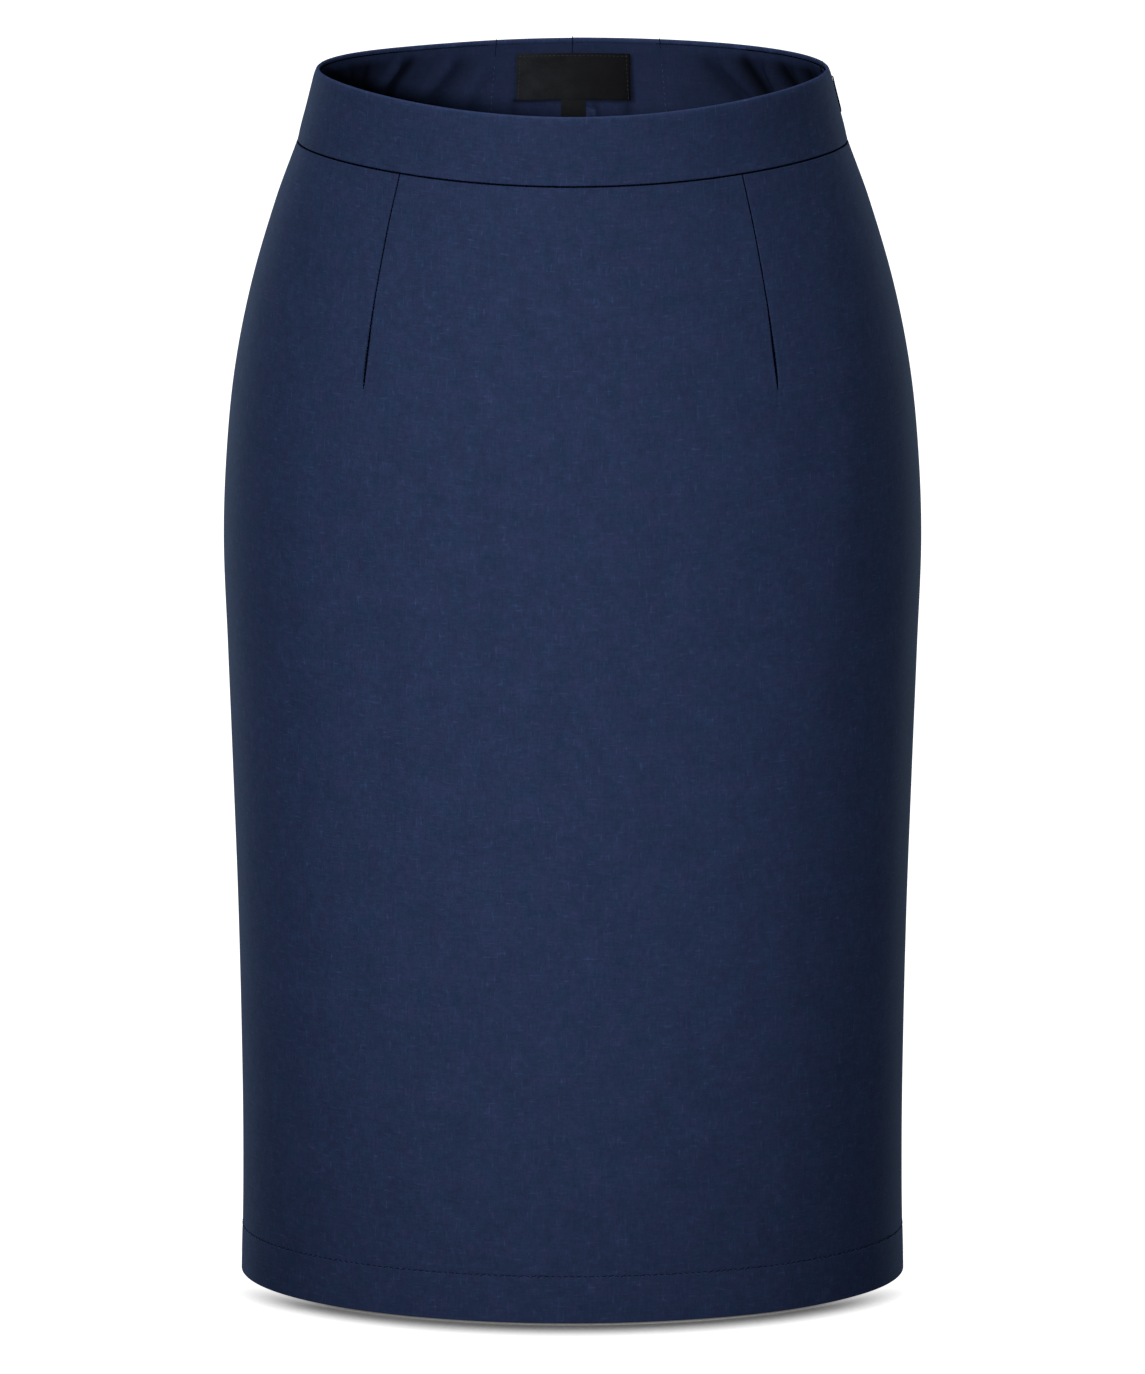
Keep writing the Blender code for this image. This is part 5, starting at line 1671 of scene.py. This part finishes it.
# %% Sewing the raw edges and the tapes
# how far above the raw edge each row of the overlock lies, then its stitches' length, width
# and lean
OVERLOCK = ((0.0014, 0.0031, 0.00034, 1.30), (0.0028, 0.0024, 0.00034, 0.0))
for name, sink, foot, height_of, slot in (
        ("facing_overlock", facing_sink, 0.0, facing_foot, "facing"),
        ("hem_overlock", panel_sink, 2.0 * HEM_RADIUS, lambda angle: HEM + HEM_DEPTH - 0.0031,
         "suiting")):
    for row, (rise, length, width, lean) in enumerate(OVERLOCK):
        paths = []
        for start, stop in ((-CENTRE_BACK + 0.6, -SIDE_SEAM - 0.6),
                            (-SIDE_SEAM + 0.6, SIDE_SEAM - 3.2),
                            (SIDE_SEAM + 3.2, CENTRE_BACK - (0.6 if foot == 0.0 else 18.0))):
            angle = np.linspace(start, stop, int((stop - start) * 4))
            height = height_of(angle) + rise
            paths.append(surface_path(angle, height, sink(angle, height) + foot + 0.00004,
                                      -1.0))
        sew(f"{name}_{row + 1}", paths, 0.0017, length, width, lean=lean, seed=13 + row,
            thread=dark_thread, tree=fine_stitches)

paths = []
for way in (-1, 1):
    for aside in (0.0062, 0.0095):
        height = np.linspace(ZIP_FOOT + 0.002, WAIST_SEAM - 0.012, 60)
        angle = SIDE_SEAM + way * aside / metres_per_degree(SIDE_SEAM, height)
        paths.append(surface_path(angle, height, TAPE_INSET + 0.00004, -1.0))
sew("tape_stitches", paths, 0.0026, 0.0019, 0.00030, seed=7)

# %% [markdown]
# ## Floor, light and camera
#
# The skirt stands in a plain white room. The floor is a wide disc just under the hem. It
# shines a little by itself, so it stays white, and it darkens only in a narrow band under
# the hem, where the skirt shades it. It throws no light back on the cloth.
#
# One soft light stands in front, to the left and above. It grazes the right side only
# weakly, which shows the roundness of the hips. Two dim blue lights behind give the sides
# a thin edge, and one overhead picks out the band's rim. A last small one stands for the
# light that a white floor throws up inside the skirt. The sky fills the rest faintly. The
# sky looks white to the camera, and is dimmer for everything else.

# %% Floor
FLOOR, FLOOR_RADIUS, FLOOR_CORNERS = HEM - 0.0008, 9.0, 96
FLOOR_WHITE, FLOOR_SHADED = 1.25, 0.085
# how far up the floor feels what stands on it
FLOOR_FEELS = 0.042
# the shade is left out level with the skirt's sides, and whole so far in front and behind
SHADE_FROM, SHADE_TO = 0.020, 0.085


def floor_material():
    """Make a white floor that darkens softly where something stands close above it."""
    material, tree, shader = new_material("white_floor")
    close = put(tree, "ShaderNodeAmbientOcclusion", {"Distance": FLOOR_FEELS}, samples=16)
    dark = put(tree, "ShaderNodeMapRange",
               {"Value": close.outputs["AO"], "From Min": 0.57, "From Max": 0.93,
                "To Min": FLOOR_SHADED, "To Max": FLOOR_WHITE},
               interpolation_type="SMOOTHSTEP")
    place = put(tree, "ShaderNodeSeparateXYZ", {0: put(tree, "ShaderNodeTexCoord").outputs[3]})
    away = calc(tree, "ABSOLUTE", place.outputs[1])
    ends = put(tree, "ShaderNodeMapRange", {"Value": away, "From Min": SHADE_FROM,
                                            "From Max": SHADE_TO},
               interpolation_type="SMOOTHSTEP")
    dark = put(tree, "ShaderNodeMix", {0: ends.outputs[0], 2: FLOOR_WHITE, 3: dark.outputs[0]})
    glow = put(tree, "ShaderNodeEmission", {"Color": (1.0, 1.0, 1.0, 1.0),
                                            "Strength": dark.outputs[0]})
    tree.links.new(glow.outputs[0], tree.nodes["Material Output"].inputs["Surface"])
    tree.nodes.remove(shader)
    return material


mesh = bpy.data.meshes.new("floor")
around = np.linspace(0.0, 2.0 * np.pi, FLOOR_CORNERS, endpoint=False)
mesh.from_pydata([(FLOOR_RADIUS * math.cos(turn), FLOOR_RADIUS * math.sin(turn), FLOOR)
                  for turn in around], [], [list(range(FLOOR_CORNERS))])
mesh.materials.append(floor_material())
floor = in_scene("floor", mesh)
floor.visible_diffuse = floor.visible_glossy = floor.visible_shadow = False
print("the floor lies", round((HEM - FLOOR) / MM, 1), "mm below the hem")

# %% Sky
SKY_SEEN, SKY_LIGHT = 1.3, 0.064
world = bpy.data.worlds.new("studio")
world.use_nodes = True
tree = world.node_tree
sky = tree.nodes["Background"]
sky.inputs["Color"].default_value = (1.0, 1.0, 1.0, 1.0)
seen = put(tree, "ShaderNodeLightPath")
sky_strength = put(tree, "ShaderNodeMapRange", {"Value": seen.outputs["Is Camera Ray"],
                                                "To Min": SKY_LIGHT, "To Max": SKY_SEEN})
tree.links.new(sky_strength.outputs[0], sky.inputs["Strength"])
bpy.context.scene.world = world
print("the sky gives", SKY_LIGHT, "and shows as", SKY_SEEN)


# %% Soft lights
def look_at(place, aim):
    """Give the rotation that points a light from a place at an aim."""
    way = np.asarray(aim, float) - np.asarray(place, float)
    tilt = math.atan2(math.hypot(way[0], way[1]), -way[2])
    return tilt, 0.0, -math.atan2(way[0], way[1])


def soft_light(name, place, aim, size, power, colour=(1.0, 1.0, 1.0)):
    """Add a square area light that looks at a point."""
    data = bpy.data.lights.new(name, "AREA")
    data.shape, data.size, data.energy, data.color = "SQUARE", size, power, colour
    light = in_scene(name, data)
    light.location, light.rotation_euler = place, look_at(place, aim)
    print(light.name, "of", power, "W")


BACK_LIGHT_COLOUR = (0.60, 0.79, 1.0)
for side, power in ((-1.0, 51.0), (1.0, 41.0)):
    soft_light("back_light", (side * 1.95, 2.3, -0.46), (0.0, 0.0, -0.48), 1.2, power,
               BACK_LIGHT_COLOUR)
soft_light("top_light", (0.0, 0.45, 2.6), (0.0, 0.0, 0.0), 1.0, 46.0)
soft_light("floor_glow", (0.0, 0.01, HEM + 0.002), (0.0, 0.01, 1.0), 0.15, 0.5)

# %% The light in front
KEY_PLACE, KEY_AIM, KEY_POWER = (-0.66, -3.48, 0.62), (-0.026, -0.1, -0.238), 496.0
KEY_CONE, KEY_SOFTNESS = 21.5, 0.14
# the spot's own width is squeezed, so that its cone is tall and narrow, as the skirt is
KEY_SQUEEZE = 0.50
spot = bpy.data.lights.new("key", "SPOT")
spot.energy, spot.shadow_soft_size = KEY_POWER, KEY_SOFTNESS
spot.spot_size, spot.spot_blend = math.radians(KEY_CONE), 1.0
key = in_scene("key", spot)
key.location = KEY_PLACE
key.rotation_euler = look_at(key.location, KEY_AIM)
key.scale = (KEY_SQUEEZE, 1.0, 1.0)
print(key.name, "of", KEY_POWER, "W")

# %% Camera
CAMERA_PLACE, CAMERA_DOWN, CAMERA_LENS = (0.0, -6.548, 1.139), 12.465, 337.1
camera_data = bpy.data.cameras.new("camera")
camera_data.lens, camera_data.sensor_width = CAMERA_LENS, 36.0
camera_data.clip_end = 100.0
camera = in_scene("camera", camera_data)
camera.location = CAMERA_PLACE
camera.rotation_euler = (math.radians(90.0 - CAMERA_DOWN), 0.0, 0.0)
bpy.context.scene.camera = camera
bpy.context.scene.view_settings.view_transform = "Standard"
print("the camera looks down by", CAMERA_DOWN, "degrees")
